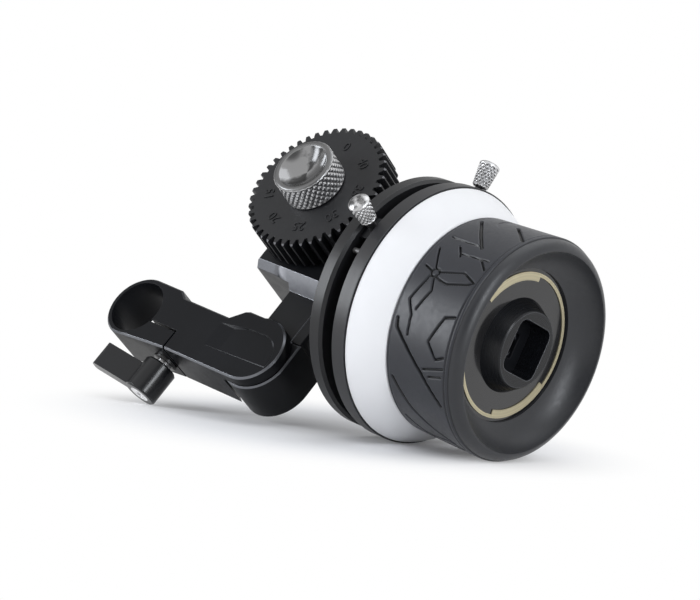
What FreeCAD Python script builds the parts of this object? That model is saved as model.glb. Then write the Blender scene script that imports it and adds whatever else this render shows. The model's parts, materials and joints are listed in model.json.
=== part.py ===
import FreeCAD, Part
import math
import os

# Follow focus unit for one 15 mm rod, in millimetres.
#
# It is drawn in its working position first: the rod runs along Y through the origin, the knob's
# axis runs along X, Z is up, and -Y is the side that the drive gear faces.  The finished pieces are
# then laid down together, as the unit rests on a table: on the front disc's edge, the grip's front
# edge and the hub of the clamp lever, with the table top at Z = 0.

V = FreeCAD.Vector
X_AXIS = V(1, 0, 0)
Y_AXIS = V(0, 1, 0)
Z_AXIS = V(0, 0, 1)

# Fits
RUN = 0.05                 # radial play of everything that turns
GAP = 0.3                  # room between pieces that pass each other
PASS = 1.0                 # how far a cutting tool runs past a face
TOUCH = 0.01               # tolerance for picking edges by their place

# Rod clamp and swing arm
ROD_R = 7.5
RING_R = 8.9
RING_FLAT_X = -1.7         # where the ring's round side meets the straight underside
ARM_T = 13.2
ARM_TOP_Z = 7.2
ARM_BOTTOM_Z = -7.2
ARM_EDGE = 0.45
BACK_EDGE = 0.4
PAD_END_X = 9.5            # end of the flat pad on top of the ring
PAD_SLOPE = 2.6
SHOULDER_X = 33.6
SHOULDER_EDGE = 1.4
SHOULDER_DROP = 0.5
SHOULDER_RUN = 4.8
SLIT_Z = -1.6              # top of the clamp slit
SLIT_W = 0.6
SLIT_END_X = 17.4
PLATE_R = 9.1
PLATE_T = 3.0
PLATE_FLAT = 3.0           # the plate's flat top starts this far from the pivot
PANEL_DEPTH = 0.4
PANEL_RAMP = 5.0           # length of the ramp at the panel's left end
PANEL_X = 28.0
PANEL_Z = (-2.0, 5.0)      # at the left end
PANEL_TOP = ((37.0, 6.4), (43.0, 6.6))
PANEL_ROUND = ((48.2, 4.2), (49.3, -1.2))    # middle and end of the rounded right side
POCKET_X = (19.5, 30.5)    # pocket in the arm's back
POCKET_Z = (-5.0, 5.0)
POCKET_DEPTH = 6.0
PIVOT_X = 41.8
PIVOT_Z = 2.2
PIVOT_R = 3.0
PIVOT_THREAD_R = 2.5
PIVOT_THREAD_Y = 0.8       # bottom of the thread in the plate
PIVOT_HEAD_R = 4.8
PIVOT_HEAD_Y = 12.3
PIVOT_HEAD_END_Y = 15.4
PIVOT_KEY = 5.0
PIVOT_KEY_DEPTH = 1.8
BUSH_WALL = 1.0
BUSH_END_Y = 12.0
PIVOT_WASHER_R = 8.5
PIVOT_WASHER_T = 0.25

# Clamp lever
LEVER_X = 13.1
LEVER_Y = 7.5
LEVER_HUB_R = 4.4
LEVER_TOP_Z = -9.3
LEVER_END_Z = -18.4
LEVER_REACH = 16.0
LEVER_TURN = 16.0          # degrees from -X towards -Y
LEVER_EDGE = 0.4
WING_T = 3.5
WING_H = 6.7
WING_ROUND = 1.2
CLAMP_SCREW_R = 2.0
CLAMP_SCREW_TOP_Z = 4.0
CLAMP_SCREW_END_Z = -15.5
CAP_SCREW_R = 1.5
CAP_SCREW_HEAD_R = 2.6
CAP_SCREW_LENGTH = 2.5
WASHER_R = 3.2
WASHER_TOP_Z = -7.3
WASHER_T = 1.0
WASHER_EDGE = 0.15
WASHER_ROOM = 0.2

# Gearbox
HUB_R = 9.5
NECK_FRONT_Y = 3.4
BACK_Y = 16.0
NECK_X = 36.3
WALL_X = 48.0              # joint face of the side cover
SIDE_X = PIVOT_X + HUB_R   # outer face of the side cover
SIDE_COVER_Z = 9.0
HEAD_X = 25.5
HEAD_Z = 22.4
HEAD_FRONT_Y = -1.5
COVER_Y = 14.2             # joint face of the back cover
HEAD_TOP_R = 9.5
CHAMBER_FRONT_Y = 0.9
CHAMBER_X = 26.8
CHAMBER_END_X = 44.0
CHAMBER_Z = 23.9
CHAMBER_R = 8.2
HOUSING_EDGE = 0.35
COVER_EDGE = 0.4
SHOULDER_ANGLE = 40.0      # of the head's flat right shoulder, from +X
HUB_ROOM = 0.4             # round the pivot hub, in the arm
SLOPE_END_X = 31.7         # the lower front slope widens from here to the next place
SLOPE_WIDE_X = 35.4
SLOPE_Y = 0.3
SLOPE_WIDE_Y = 1.5
SLOPE_H = 1.9
RAMP_H = 1.2               # ramp from the neck up to the head
RAMP_BACK_Y = 6.0
DRIVE_BOSS_R = 5.4
DRIVE_BOSS_Y = 2.1
SCREW_POST_R = 1.85
IDLER_BEARING_R = 3.0
DRIVE_BEARING_R = 4.0
BEARING_FRONT_Y = -1.1     # bottom of the idler's front bearing seat
DRIVE_BEARING_Y = -0.9
BEARING_END_Y = 15.6
BEARING_LIP = 0.6          # the rear bearings stand this far into the chamber
BEARING_WALL = 1.2         # of their seats
DRIVE_HOLE_R = 2.6
KNOB_BEARING_R = 5.0
KNOB_BEARING_X = 44.6
KNOB_HOLE_R = 4.2
SMALL_SCREW = (0.8, 1.7, 6.0)      # radius, head radius and length of a back cover screw
SIDE_SCREW = (1.0, 2.0, 6.6)
SIDE_COVER_TOP_Z = 43.0
SPIGOT_TUBE_R = 6.0        # the bearing tube's spigot in the side cover
SPIGOT_TUBE_X = 49.6
STUB_ROOM = 0.7            # round the knob's shaft, in the side cover
BACK_SCREWS = ((27.4, 25.0), (27.4, 36.6), (46.0, 24.6), (46.0, 38.0))    # x, z
SIDE_SCREWS = ((6.2, 12.2), (13.2, 12.2), (5.4, 40.8), (12.4, 40.8))      # y, z

# Gear train
GEAR_X = 35.0
GEAR_Z = 44.0
KNOB_Y = 6.5
KNOB_Z = 30.8
PRESSURE = math.radians(20)
DRIVE_MODULE = 0.8
DRIVE_TEETH = 45
DRIVE_FRONT_Y = -10.5
DRIVE_BACK_Y = -2.0
SMALL_MODULE = 0.6
IDLER_TEETH = 20
DRIVEN_TEETH = 24
BEVEL_TEETH = 14
BEVEL_FACE = 2.0
BEVEL_HUB_R = 3.1
THINNING = 0.12            # taken off each tooth for backlash
ROOT_DEPTH = 1.25          # of a tooth below the pitch circle, in modules
SPUR_Y = 11.7
SPUR_T = 1.6
IDLER_BEVEL_HUB = 5.1      # end of the idler's bevel hub, from the cones' tip
KNOB_BEVEL_HUB = 6.3
DRIVE_SHAFT_R = 2.0
IDLER_SHAFT_R = 1.5
SHAFT_END_Y = 15.4
IDLER_SHAFT_Y = -1.0
COLLAR_R = 6.0
COLLAR_Y = -4.5
COLLAR_END_Y = -1.9
THREAD_END_Y = -14.6
DOWEL_R = 0.9
DOWEL_PITCH_R = 4.2
DOWEL_Y = -7.0
DOWEL_END_Y = -3.0
TOOTH_EDGE = 0.4
NUT_R = 8.0
NUT_FRONT_Y = -18.0
NUT_GAP = 0.1
NUT_EDGE = 0.5
NUT_THREAD_DEPTH = 4.3
BOWL_R = 6.7
BOWL_DEPTH = 2.2

# Knob
FLANGE_X = 66.4
TRACK_X = 70.3
DISC_X = 74.3
RING_X = 78.3
GRIP_X = 86.7
RIM_X = 105.9
CREST_X = 108.3
FACE_X = 101.2
DISH_X = 102.2             # bottom of the dish, round the label
DISH_MIDDLE = (104.2, 21.3)        # place and radius half way down the dish
LABEL_X = 101.6            # front of the label
FLANGE_DISC_R = 31.0
FLANGE_BEVEL = 0.7
DRUM_R = 25.5
DRUM_WALL = 2.5
DRUM_POCKET = 0.6          # depth of the hollow between drum and bearing, behind the track's floor
DISC_R = 31.4
CONE_R = 31.0
CONE_END_R = 26.2
CONE_MIDDLE = (82.7, 28.95)        # place and radius half way along the cone
CONE_GAP = 0.1
GRIP_R = 26.6
GRIP_EDGE = 0.5
RIM_R = 26.2
CREST_R = 24.1
CREST_EDGE = 0.3
CROWN = (107.8, 25.1)              # place and radius half way over the rim's rounded edge
CORE_R = 24.3
CORE_BORE_R = 22.0
CORE_HUB_R = 11.0
CORE_WEB_X = 87.5          # back of the web that joins hub and rim
SPIGOT_R = 9.0
SPIGOT_X = 95.0
LABEL_R = 18.3
TRIM_OUT_R = 17.4
TRIM_R = 16.6
TRIM_WIDE_R = 15.4
TRIM_T = 0.25
TRIM_ARCS = ((25.0, 87.0), (209.0, 272.0))    # wide parts of the trim ring
BOSS_R = 11.3
BOSS_END_R = 9.2
BOSS_X = 105.6
SOCKET = 12.5
SOCKET_CORNER = 2.3
SOCKET_FLOOR_X = 99.0
SOCKET_PLATE_T = 0.8
SOCKET_WINDOW = 6.2        # square window in the plate, over the hub screw
WINDOW_CORNER = 0.6
SOCKET_TURN = 19.5
KNOB_SHAFT_R = 4.0
KNOB_STUB_R = 2.5
SHAFT_TIP_X = 37.4
STUB_X = 41.4
SHAFT_X = 52.0
SHAFT_THREAD_X = 85.0      # bottom of the hub screw's thread
OUTER_BEARING_R = 8.0
OUTER_BEARING_X = (68.4, 73.4)
BEARING_SEAT_R = 10.5      # outside of the flange's bearing seat
TUBE_R = 8.0
TUBE_BORE_R = 4.4
TUBE_FLANGE_R = 13.0
TUBE_FLANGE_T = 3.0
FLANGE_EDGE = 0.4
FLANGE_SCREW_ANGLES = (30.0, 150.0, 270.0)
FLANGE_SCREW_R = 1.25
FLANGE_SCREW_HEAD = 2.0    # radius and height of the head
FLANGE_SCREW_PITCH_R = 10.7
FLANGE_SCREW_DEPTH = 3.0
DISC_SCREW = (1.25, 2.3, 9.0)      # radius, head radius and length
DISC_SCREW_PITCH_R = 7.4
DISC_EDGE = 0.3
HUB_SCREW_R = 2.0
HUB_SCREW_HEAD_R = 3.5
HUB_SCREW_HEAD_H = 2.2
HUB_SCREW_LENGTH = 9.0
HUB_SCREW_X = 98.4
HUB_SCREW_SEAT_X = 96.2

# End stops: angles about the knob's axis, from +Z towards -Y
STOP_A = 87.4
STOP_B = 17.5
PIN_ANGLE = 99.9
PIN_R = 0.7
PIN_RADIUS = 28.5
BLOCK_HALF = 6.0
BLOCK_OUT_R = 29.3
POST_R = 1.0
THUMB_R = 2.6
THUMB_START = 32.2
THUMB_END = 38.9
THUMB_EDGE = 0.4
THUMB_ROUND = 1.0          # from the knurl's end to the screw's end
THUMB_CROWN = ((2.15, 38.6), (1.2, 38.9))    # middle and end of the rounding


# Basic solids

def box(x0, x1, y0, y1, z0, z1):
    return Part.makeBox(x1 - x0, y1 - y0, z1 - z0, V(x0, y0, z0))


def rod_x(r, x0, x1, y=KNOB_Y, z=KNOB_Z):
    return Part.makeCylinder(r, x1 - x0, V(x0, y, z), X_AXIS)


def rod_y(r, y0, y1, x, z):
    return Part.makeCylinder(r, y1 - y0, V(x, y0, z), Y_AXIS)


def rod_z(r, z0, z1, x, y):
    return Part.makeCylinder(r, z1 - z0, V(x, y, z0), Z_AXIS)


def wire(start, *steps):
    """Closed wire of (end) lines and (middle, end) arcs; points are vectors."""
    edges = []
    here = start
    for step in steps:
        end = step[-1]
        if len(step) == 2:
            edges.append(Part.Arc(here, step[0], end).toShape())
        else:
            edges.append(Part.LineSegment(here, end).toShape())
        here = end
    if here.distanceToPoint(start) > 1e-6:
        edges.append(Part.LineSegment(here, start).toShape())
    return Part.Wire(edges)


def outline_xz(start, *steps):
    """Closed outline of (x, z) points in the plane Y = 0."""
    def lift(point):
        return V(point[0], 0, point[1])
    lifted = [tuple(lift(point) for point in step) for step in steps]
    return wire(lift(start), *lifted)


def plate(outline, y0, y1, front=0.0, back=0.0):
    """Thickness along Y for an outline, with its front and back edges bevelled."""
    def level(y, inset):
        ring = outline
        if inset:
            corners_kept = 1
            ring = Part.Face(outline).makeOffset2D(-inset, corners_kept, False, False, True).OuterWire
        ring = ring.copy()
        ring.translate(V(0, y, 0))
        return ring

    levels = [level(y0, front)]
    if front:
        levels.append(level(y0 + front, 0))
    if back:
        levels.append(level(y1 - back, 0))
    levels.append(level(y1, back))
    return Part.makeLoft(levels, True, True)


def turned(start, *steps):
    """Profile of (x, radius) points turned about the knob's axis."""
    def lift(point):
        return V(point[0], KNOB_Y, KNOB_Z + point[1])
    lifted = [tuple(lift(point) for point in step) for step in steps]
    face = Part.Face(wire(lift(start), *lifted))
    return face.revolve(V(0, KNOB_Y, KNOB_Z), X_AXIS, 360)


def turned_z(start, *steps):
    """Profile of (radius, z) points turned about the Z axis."""
    def lift(point):
        return V(point[0], 0, point[1])
    lifted = [tuple(lift(point) for point in step) for step in steps]
    return Part.Face(wire(lift(start), *lifted)).revolve(V(0, 0, 0), Z_AXIS, 360)


def aim(shape, place, direction):
    """Copy of a piece drawn along +Z, set at a place and pointed along a direction."""
    moved = shape.copy()
    moved.Placement = FreeCAD.Placement(place, FreeCAD.Rotation(Z_AXIS, direction))
    return moved


def around_knob(shape, degrees):
    """Copy turned about the knob's axis, from +Z towards -Y."""
    moved = shape.copy()
    moved.rotate(V(0, KNOB_Y, KNOB_Z), X_AXIS, degrees)
    return moved


def bevelled(shape, size, wanted):
    """Shape with its wanted edges chamfered."""
    edges = [edge for edge in shape.Edges if wanted(edge.BoundBox)]
    return shape.makeChamfer(size, edges)


def polar(radius, degrees, x):
    """Point about the knob's axis, at an angle from +Z towards -Y."""
    angle = math.radians(degrees)
    return V(x, KNOB_Y - radius * math.sin(angle), KNOB_Z + radius * math.cos(angle))


# Screws: drawn along +Z with the head's top at Z = 0 and the shank below

def countersunk(r, head_r, length):
    edge = 0.15
    return turned_z((0, 0), ((head_r, 0),), ((head_r, -edge),), ((r, -edge - head_r + r),),
                    ((r, -length),), ((0, -length),))


def hex_socket(across, depth):
    corner_r = across / math.sqrt(3)
    corners = [V(corner_r * math.cos(k * math.pi / 3), corner_r * math.sin(k * math.pi / 3), -depth)
               for k in range(7)]
    return Part.Face(Part.makePolygon(corners)).extrude(V(0, 0, depth + PASS))


def countersunk_screw(r, head_r, length):
    key, depth = r * 1.2, head_r * 0.45
    return countersunk(r, head_r, length).cut(hex_socket(key, depth))


def cap_screw(r, head_r, head_h, length):
    head = Part.makeCylinder(head_r, head_h, V(0, 0, -head_h))
    shank = Part.makeCylinder(r, length, V(0, 0, -head_h - length))
    key, depth = r * 1.9, head_h * 0.55
    return head.fuse(shank).removeSplitter().cut(hex_socket(key, depth))


# Gears

def tooth_half_angle(radius, teeth, module):
    """Half of an involute tooth's angle at a radius."""
    pitch_r = module * teeth / 2
    base_r = pitch_r * math.cos(PRESSURE)
    pitch_half = math.pi / (2 * teeth) - THINNING / (2 * pitch_r)
    slope = math.acos(min(1.0, base_r / radius))
    return pitch_half + (math.tan(PRESSURE) - PRESSURE) - (math.tan(slope) - slope)


def spur_outline(teeth, module, flank_steps=4):
    """Corner points (x, z) of a spur gear whose first tooth points along +Z."""
    pitch_r = module * teeth / 2
    root_r = pitch_r - ROOT_DEPTH * module
    tip_r = pitch_r + module
    start_r = max(root_r, pitch_r * math.cos(PRESSURE))
    radii = [root_r] + [start_r + (tip_r - start_r) * k / flank_steps for k in range(flank_steps + 1)]
    if start_r == root_r:
        radii = radii[1:]
    points = []
    for tooth in range(teeth):
        middle = 2 * math.pi * tooth / teeth
        flank = [(r, tooth_half_angle(r, teeth, module)) for r in radii]
        sides = [(r, -half) for r, half in flank] + [(r, half) for r, half in reversed(flank)]
        points += [(r * math.sin(middle + a), r * math.cos(middle + a)) for r, a in sides]
    return points


def spur_gear(teeth, module, y0, y1, x, z, turn=0.0):
    """Spur gear about an axis along Y, turned by a part of a revolution in degrees."""
    corners = [V(x + px, y0, z + pz) for px, pz in spur_outline(teeth, module)]
    corners.append(corners[0])
    gear = Part.Face(Part.makePolygon(corners)).extrude(V(0, y1 - y0, 0))
    gear.rotate(V(x, 0, z), Y_AXIS, turn)
    return gear


def bevel_gear(hub_end, bore_r):
    """Mitre gear about +Z with its pitch cone's tip at the origin; the first tooth points along +X."""
    pitch_r = SMALL_MODULE * BEVEL_TEETH / 2
    cone = pitch_r * math.sqrt(2)
    cos45 = math.sqrt(0.5)
    offsets = [SMALL_MODULE * share for share in (-ROOT_DEPTH, -0.4, 0.3, 1.0)]
    flank = []
    for offset in offsets:
        # The tooth has an involute's thickness on the back cone, seen here in the plane z = pitch_r.
        virtual_half = tooth_half_angle(cone + offset, 2 * cone / SMALL_MODULE, SMALL_MODULE)
        true_r = pitch_r + offset * cos45
        half = virtual_half * (cone + offset) / true_r
        flank.append((true_r * pitch_r / (pitch_r - offset * cos45), half))
    outline = []
    for tooth in range(BEVEL_TEETH):
        middle = 2 * math.pi * tooth / BEVEL_TEETH
        sides = [(r, -half) for r, half in flank] + [(r, half) for r, half in reversed(flank)]
        outline += [(r * math.cos(middle + a), r * math.sin(middle + a)) for r, a in sides]
    outline.append(outline[0])

    def section(scale):
        return Part.makePolygon([V(px * scale, py * scale, pitch_r * scale) for px, py in outline])

    inner = (cone - BEVEL_FACE) / cone
    teeth = Part.makeLoft([section(inner), section(1.0)], True, True)
    hub = Part.makeCylinder(BEVEL_HUB_R, hub_end - pitch_r, V(0, 0, pitch_r))
    bore = Part.makeCylinder(bore_r, hub_end, V(0, 0, 0))
    return teeth.fuse(hub).cut(bore)


# Rod clamp and swing arm

def clamp_arm():
    ring_bottom = (RING_FLAT_X, -math.sqrt(RING_R ** 2 - RING_FLAT_X ** 2))
    plate_top_z = PIVOT_Z + math.sqrt(PLATE_R ** 2 - PLATE_FLAT ** 2)
    outline = outline_xz((0, RING_R),
                         ((-RING_R, 0), ring_bottom),
                         ((SLIT_END_X, ARM_BOTTOM_Z),),
                         ((PIVOT_X, PIVOT_Z - PLATE_R),),
                         ((PIVOT_X + PLATE_R, PIVOT_Z), (PIVOT_X - PLATE_FLAT, plate_top_z)),
                         ((SHOULDER_X, plate_top_z),),
                         ((SHOULDER_X - SHOULDER_EDGE, plate_top_z - SHOULDER_DROP),),
                         ((SHOULDER_X - SHOULDER_RUN, ARM_TOP_Z),),
                         ((PAD_END_X + PAD_SLOPE, ARM_TOP_Z),),
                         ((PAD_END_X, RING_R),))
    front, back = -PASS, ARM_T + PASS
    end_x = PIVOT_X + 2 * PLATE_R
    arm = plate(outline, 0, ARM_T, ARM_EDGE, BACK_EDGE)
    arm = arm.cut(rod_y(ROD_R, front, back, 0, 0))
    arm = arm.cut(rod_y(HUB_R + HUB_ROOM, PLATE_T, back, PIVOT_X, PIVOT_Z))
    arm = arm.cut(box(NECK_X - HUB_ROOM, end_x, PLATE_T, back, PIVOT_Z, PIVOT_Z + 2 * PLATE_R))
    arm = arm.cut(box(ROD_R - PASS, SLIT_END_X, front, back, SLIT_Z - SLIT_W, SLIT_Z))
    arm = arm.cut(box(SLIT_END_X - SLIT_W, SLIT_END_X, front, back, -RING_R - PASS, SLIT_Z))
    arm = arm.cut(rod_z(CLAMP_SCREW_R + RUN, -RING_R - PASS, CLAMP_SCREW_TOP_Z + GAP, LEVER_X, LEVER_Y))
    arm = arm.cut(rod_z(WASHER_R + WASHER_ROOM, -RING_R - PASS, WASHER_TOP_Z, LEVER_X, LEVER_Y))
    arm = arm.cut(rod_y(PIVOT_THREAD_R, PIVOT_THREAD_Y, PLATE_T + PASS, PIVOT_X, PIVOT_Z))
    arm = arm.cut(box(*POCKET_X, ARM_T - POCKET_DEPTH, back, *POCKET_Z))
    return arm.cut(arm_panel())


def arm_panel():
    """Shallow panel in the plate's front: steep at the top, sloping at the bottom and the right."""
    (top_x, top_z), (round_x, round_z) = PANEL_TOP
    (middle_x, middle_z), (end_x, end_z) = PANEL_ROUND

    def level(y, inset, ramp):
        left_x = PANEL_X + ramp
        shape = outline_xz((left_x, PANEL_Z[0] + inset), ((left_x, PANEL_Z[1]),),
                           ((top_x, top_z),), ((round_x, round_z),),
                           ((middle_x - inset, middle_z - inset), (end_x - inset, end_z + inset)))
        shape.translate(V(0, y, 0))
        return shape

    levels = [level(-PASS, 0, 0), level(0, 0, 0), level(PANEL_DEPTH, PANEL_DEPTH, PANEL_RAMP)]
    return Part.makeLoft(levels, True, True)


def clamp_washer():
    washer = rod_z(WASHER_R, WASHER_TOP_Z - WASHER_T, WASHER_TOP_Z, LEVER_X, LEVER_Y)
    washer = washer.makeChamfer(WASHER_EDGE, [e for e in washer.Edges if e.BoundBox.ZLength < TOUCH])
    return washer.cut(rod_z(CLAMP_SCREW_R + RUN, LEVER_END_Z, 0, LEVER_X, LEVER_Y))


def clamp_lever():
    hub = rod_z(LEVER_HUB_R, LEVER_END_Z, LEVER_TOP_Z, LEVER_X, LEVER_Y)
    hub = hub.makeChamfer(LEVER_EDGE, [e for e in hub.Edges if e.BoundBox.ZLength < TOUCH])
    wing_z = LEVER_END_Z + LEVER_EDGE
    wing = box(0, LEVER_REACH, -WING_T / 2, WING_T / 2, wing_z, wing_z + WING_H)
    outer = [e for e in wing.Edges if e.BoundBox.ZLength > WING_H / 2 and e.BoundBox.XMin > LEVER_REACH / 2]
    wing = wing.makeFillet(WING_ROUND, outer)
    wing.rotate(V(0, 0, 0), Z_AXIS, 180 + LEVER_TURN)
    wing.translate(V(LEVER_X, LEVER_Y, 0))
    lever = hub.fuse(wing).removeSplitter()
    lever = lever.cut(rod_z(CLAMP_SCREW_R, CLAMP_SCREW_END_Z, LEVER_TOP_Z + PASS, LEVER_X, LEVER_Y))
    return lever.cut(lever_cap(countersunk))


def clamp_screw():
    return rod_z(CLAMP_SCREW_R, CLAMP_SCREW_END_Z, CLAMP_SCREW_TOP_Z, LEVER_X, LEVER_Y)


def lever_cap(maker):
    """Cap screw in the lever's end, or the hole for it."""
    screw = maker(CAP_SCREW_R, CAP_SCREW_HEAD_R, CAP_SCREW_LENGTH)
    return aim(screw, V(LEVER_X, LEVER_Y, LEVER_END_Z), -Z_AXIS)


def pivot_screw():
    thread = rod_y(PIVOT_THREAD_R, PIVOT_THREAD_Y, PLATE_T, PIVOT_X, PIVOT_Z)
    shoulder = rod_y(PIVOT_R, PLATE_T, PIVOT_HEAD_Y, PIVOT_X, PIVOT_Z)
    head = rod_y(PIVOT_HEAD_R, PIVOT_HEAD_Y, PIVOT_HEAD_END_Y, PIVOT_X, PIVOT_Z)
    socket = aim(hex_socket(PIVOT_KEY, PIVOT_KEY_DEPTH), V(PIVOT_X, PIVOT_HEAD_END_Y, PIVOT_Z), Y_AXIS)
    return thread.fuse([shoulder, head]).removeSplitter().cut(socket)


def pivot_washer():
    washer = rod_y(PIVOT_WASHER_R, PLATE_T, PLATE_T + PIVOT_WASHER_T, PIVOT_X, PIVOT_Z)
    return washer.cut(rod_y(PIVOT_R + RUN, 0, ARM_T, PIVOT_X, PIVOT_Z))


def pivot_bush():
    bush = rod_y(PIVOT_R + BUSH_WALL, NECK_FRONT_Y, BUSH_END_Y, PIVOT_X, PIVOT_Z)
    return bush.cut(rod_y(PIVOT_R + RUN, 0, ARM_T, PIVOT_X, PIVOT_Z))


# Gearbox

def head_outline():
    angle = math.radians(SHOULDER_ANGLE)
    shoulder_x = GEAR_X + HEAD_TOP_R * math.cos(angle)
    shoulder_z = GEAR_Z + HEAD_TOP_R * math.sin(angle)
    right_z = shoulder_z - (WALL_X - shoulder_x) / math.tan(angle)
    return outline_xz((HEAD_X, HEAD_Z), ((WALL_X, HEAD_Z),), ((WALL_X, right_z),),
                      ((shoulder_x, shoulder_z),),
                      ((GEAR_X, GEAR_Z + HEAD_TOP_R), (HEAD_X, GEAR_Z)))


def foot_outline():
    """Neck and pivot hub, with the step for the side cover."""
    neck_end_z = PIVOT_Z + math.sqrt(HUB_R ** 2 - (PIVOT_X - NECK_X) ** 2)
    diagonal = HUB_R * math.sqrt(0.5)
    return outline_xz((NECK_X, HEAD_Z), ((NECK_X, neck_end_z),),
                      ((PIVOT_X - diagonal, PIVOT_Z - diagonal), (PIVOT_X, PIVOT_Z - HUB_R)),
                      ((PIVOT_X + diagonal, PIVOT_Z - diagonal), (SIDE_X, PIVOT_Z)),
                      ((SIDE_X, SIDE_COVER_Z),), ((WALL_X, SIDE_COVER_Z),), ((WALL_X, HEAD_Z),))


def slope_section(x, reach_y, top_z):
    """Triangle cut off the head's lower front edge at one X."""
    front, below = HEAD_FRONT_Y - PASS, HEAD_Z - PASS
    return Part.makePolygon([V(x, front, below), V(x, reach_y, below), V(x, reach_y, HEAD_Z),
                             V(x, HEAD_FRONT_Y, top_z), V(x, front, top_z), V(x, front, below)])


def gearbox_housing():
    body = plate(head_outline(), HEAD_FRONT_Y, COVER_Y, HOUSING_EDGE)
    top_z = HEAD_Z + SLOPE_H
    slope = [slope_section(HEAD_X - PASS, SLOPE_Y, top_z), slope_section(SLOPE_END_X, SLOPE_Y, top_z),
             slope_section(SLOPE_WIDE_X, SLOPE_WIDE_Y, top_z),
             slope_section(WALL_X + PASS, SLOPE_WIDE_Y, top_z)]
    body = body.cut(Part.makeLoft(slope, True, True))
    ramp_z = HEAD_Z - RAMP_H
    ramp = Part.makePolygon([V(NECK_X, SLOPE_WIDE_Y, HEAD_Z), V(NECK_X, NECK_FRONT_Y, ramp_z),
                             V(NECK_X, RAMP_BACK_Y, ramp_z), V(NECK_X, RAMP_BACK_Y, HEAD_Z),
                             V(NECK_X, SLOPE_WIDE_Y, HEAD_Z)])
    body = body.fuse(Part.Face(ramp).extrude(V(WALL_X - NECK_X, 0, 0)))
    foot = plate(foot_outline(), NECK_FRONT_Y, BACK_Y, COVER_EDGE, COVER_EDGE)
    body = body.fuse(foot).removeSplitter()

    chamber = box(CHAMBER_X, CHAMBER_END_X, CHAMBER_FRONT_Y, COVER_Y, CHAMBER_Z, GEAR_Z)
    chamber = chamber.fuse(rod_y(CHAMBER_R, CHAMBER_FRONT_Y, COVER_Y, GEAR_X, GEAR_Z))
    body = body.cut(chamber)
    body = body.fuse(rod_y(DRIVE_BOSS_R, CHAMBER_FRONT_Y, DRIVE_BOSS_Y, GEAR_X, GEAR_Z))
    for x, z in BACK_SCREWS[:2]:
        body = body.fuse(rod_y(SCREW_POST_R, CHAMBER_FRONT_Y, COVER_Y, x, z))

    body = body.cut(rod_x(KNOB_HOLE_R, CHAMBER_END_X - PASS, WALL_X))
    body = body.cut(rod_x(KNOB_BEARING_R, KNOB_BEARING_X, WALL_X))
    body = body.cut(rod_y(IDLER_BEARING_R, BEARING_FRONT_Y, CHAMBER_FRONT_Y, GEAR_X, KNOB_Z))
    body = body.cut(rod_y(DRIVE_HOLE_R, HEAD_FRONT_Y - PASS, 0, GEAR_X, GEAR_Z))
    body = body.cut(rod_y(DRIVE_BEARING_R, DRIVE_BEARING_Y, DRIVE_BOSS_Y + PASS, GEAR_X, GEAR_Z))
    body = body.cut(rod_y(PIVOT_R + BUSH_WALL, 0, BUSH_END_Y, PIVOT_X, PIVOT_Z))
    body = body.cut(rod_y(PIVOT_HEAD_R + GAP, BUSH_END_Y, BACK_Y + PASS, PIVOT_X, PIVOT_Z))
    for tool in back_screw_set(countersunk) + side_screw_set(countersunk):
        body = body.cut(tool)
    return body.removeSplitter()


def back_screw_set(maker):
    screw = maker(*SMALL_SCREW)
    return [aim(screw, V(x, BACK_Y, z), Y_AXIS) for x, z in BACK_SCREWS]


def side_screw_set(maker):
    screw = maker(*SIDE_SCREW)
    return [aim(screw, V(SIDE_X, y, z), X_AXIS) for y, z in SIDE_SCREWS]


def gearbox_side_cover():
    cover = box(WALL_X, SIDE_X, NECK_FRONT_Y, BACK_Y, SIDE_COVER_Z, SIDE_COVER_TOP_Z)
    cover = bevelled(cover, COVER_EDGE, lambda b: b.XMin > SIDE_X - TOUCH)
    cover = cover.fuse(rod_x(TUBE_R, WALL_X, SIDE_X)).removeSplitter()
    cover = cover.cut(rod_x(SPIGOT_TUBE_R, SPIGOT_TUBE_X, SIDE_X + PASS))
    cover = cover.cut(rod_x(KNOB_STUB_R + STUB_ROOM, WALL_X - PASS, SPIGOT_TUBE_X + TOUCH))
    for tool in side_screw_set(countersunk) + back_screw_set(countersunk):
        cover = cover.cut(tool)
    return cover


def gearbox_back_cover():
    cover = plate(head_outline(), COVER_Y, BACK_Y, 0.0, COVER_EDGE)
    lip_y = COVER_Y - BEARING_LIP
    for seat_r, z in ((IDLER_BEARING_R, KNOB_Z), (DRIVE_BEARING_R, GEAR_Z)):
        cover = cover.fuse(rod_y(seat_r + BEARING_WALL, lip_y, COVER_Y, GEAR_X, z))
        cover = cover.cut(rod_y(seat_r, lip_y - PASS, BEARING_END_Y, GEAR_X, z))
    for tool in back_screw_set(countersunk):
        cover = cover.cut(tool)
    return cover.removeSplitter()


def bearing_pair(seat_r, shaft_r, front, z):
    """Front and rear bearing of a shaft along Y: plain rings."""
    rings = []
    for y0, y1 in (front, (COVER_Y - BEARING_LIP, BEARING_END_Y)):
        ring = rod_y(seat_r, y0, y1, GEAR_X, z)
        rings.append(ring.cut(rod_y(shaft_r + RUN, y0 - PASS, y1 + PASS, GEAR_X, z)))
    return rings


def idler_bearings():
    return bearing_pair(IDLER_BEARING_R, IDLER_SHAFT_R, (BEARING_FRONT_Y, CHAMBER_FRONT_Y), KNOB_Z)


def drive_bearings():
    return bearing_pair(DRIVE_BEARING_R, DRIVE_SHAFT_R, (DRIVE_BEARING_Y, DRIVE_BOSS_Y), GEAR_Z)


def knob_bearing_inner():
    ring = rod_x(KNOB_BEARING_R, KNOB_BEARING_X, WALL_X)
    return ring.cut(rod_x(KNOB_STUB_R + RUN, KNOB_BEARING_X - PASS, WALL_X + PASS))


def knob_bearing_outer():
    x0, x1 = OUTER_BEARING_X
    return rod_x(OUTER_BEARING_R, x0, x1).cut(rod_x(KNOB_SHAFT_R + RUN, x0 - PASS, x1 + PASS))


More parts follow.
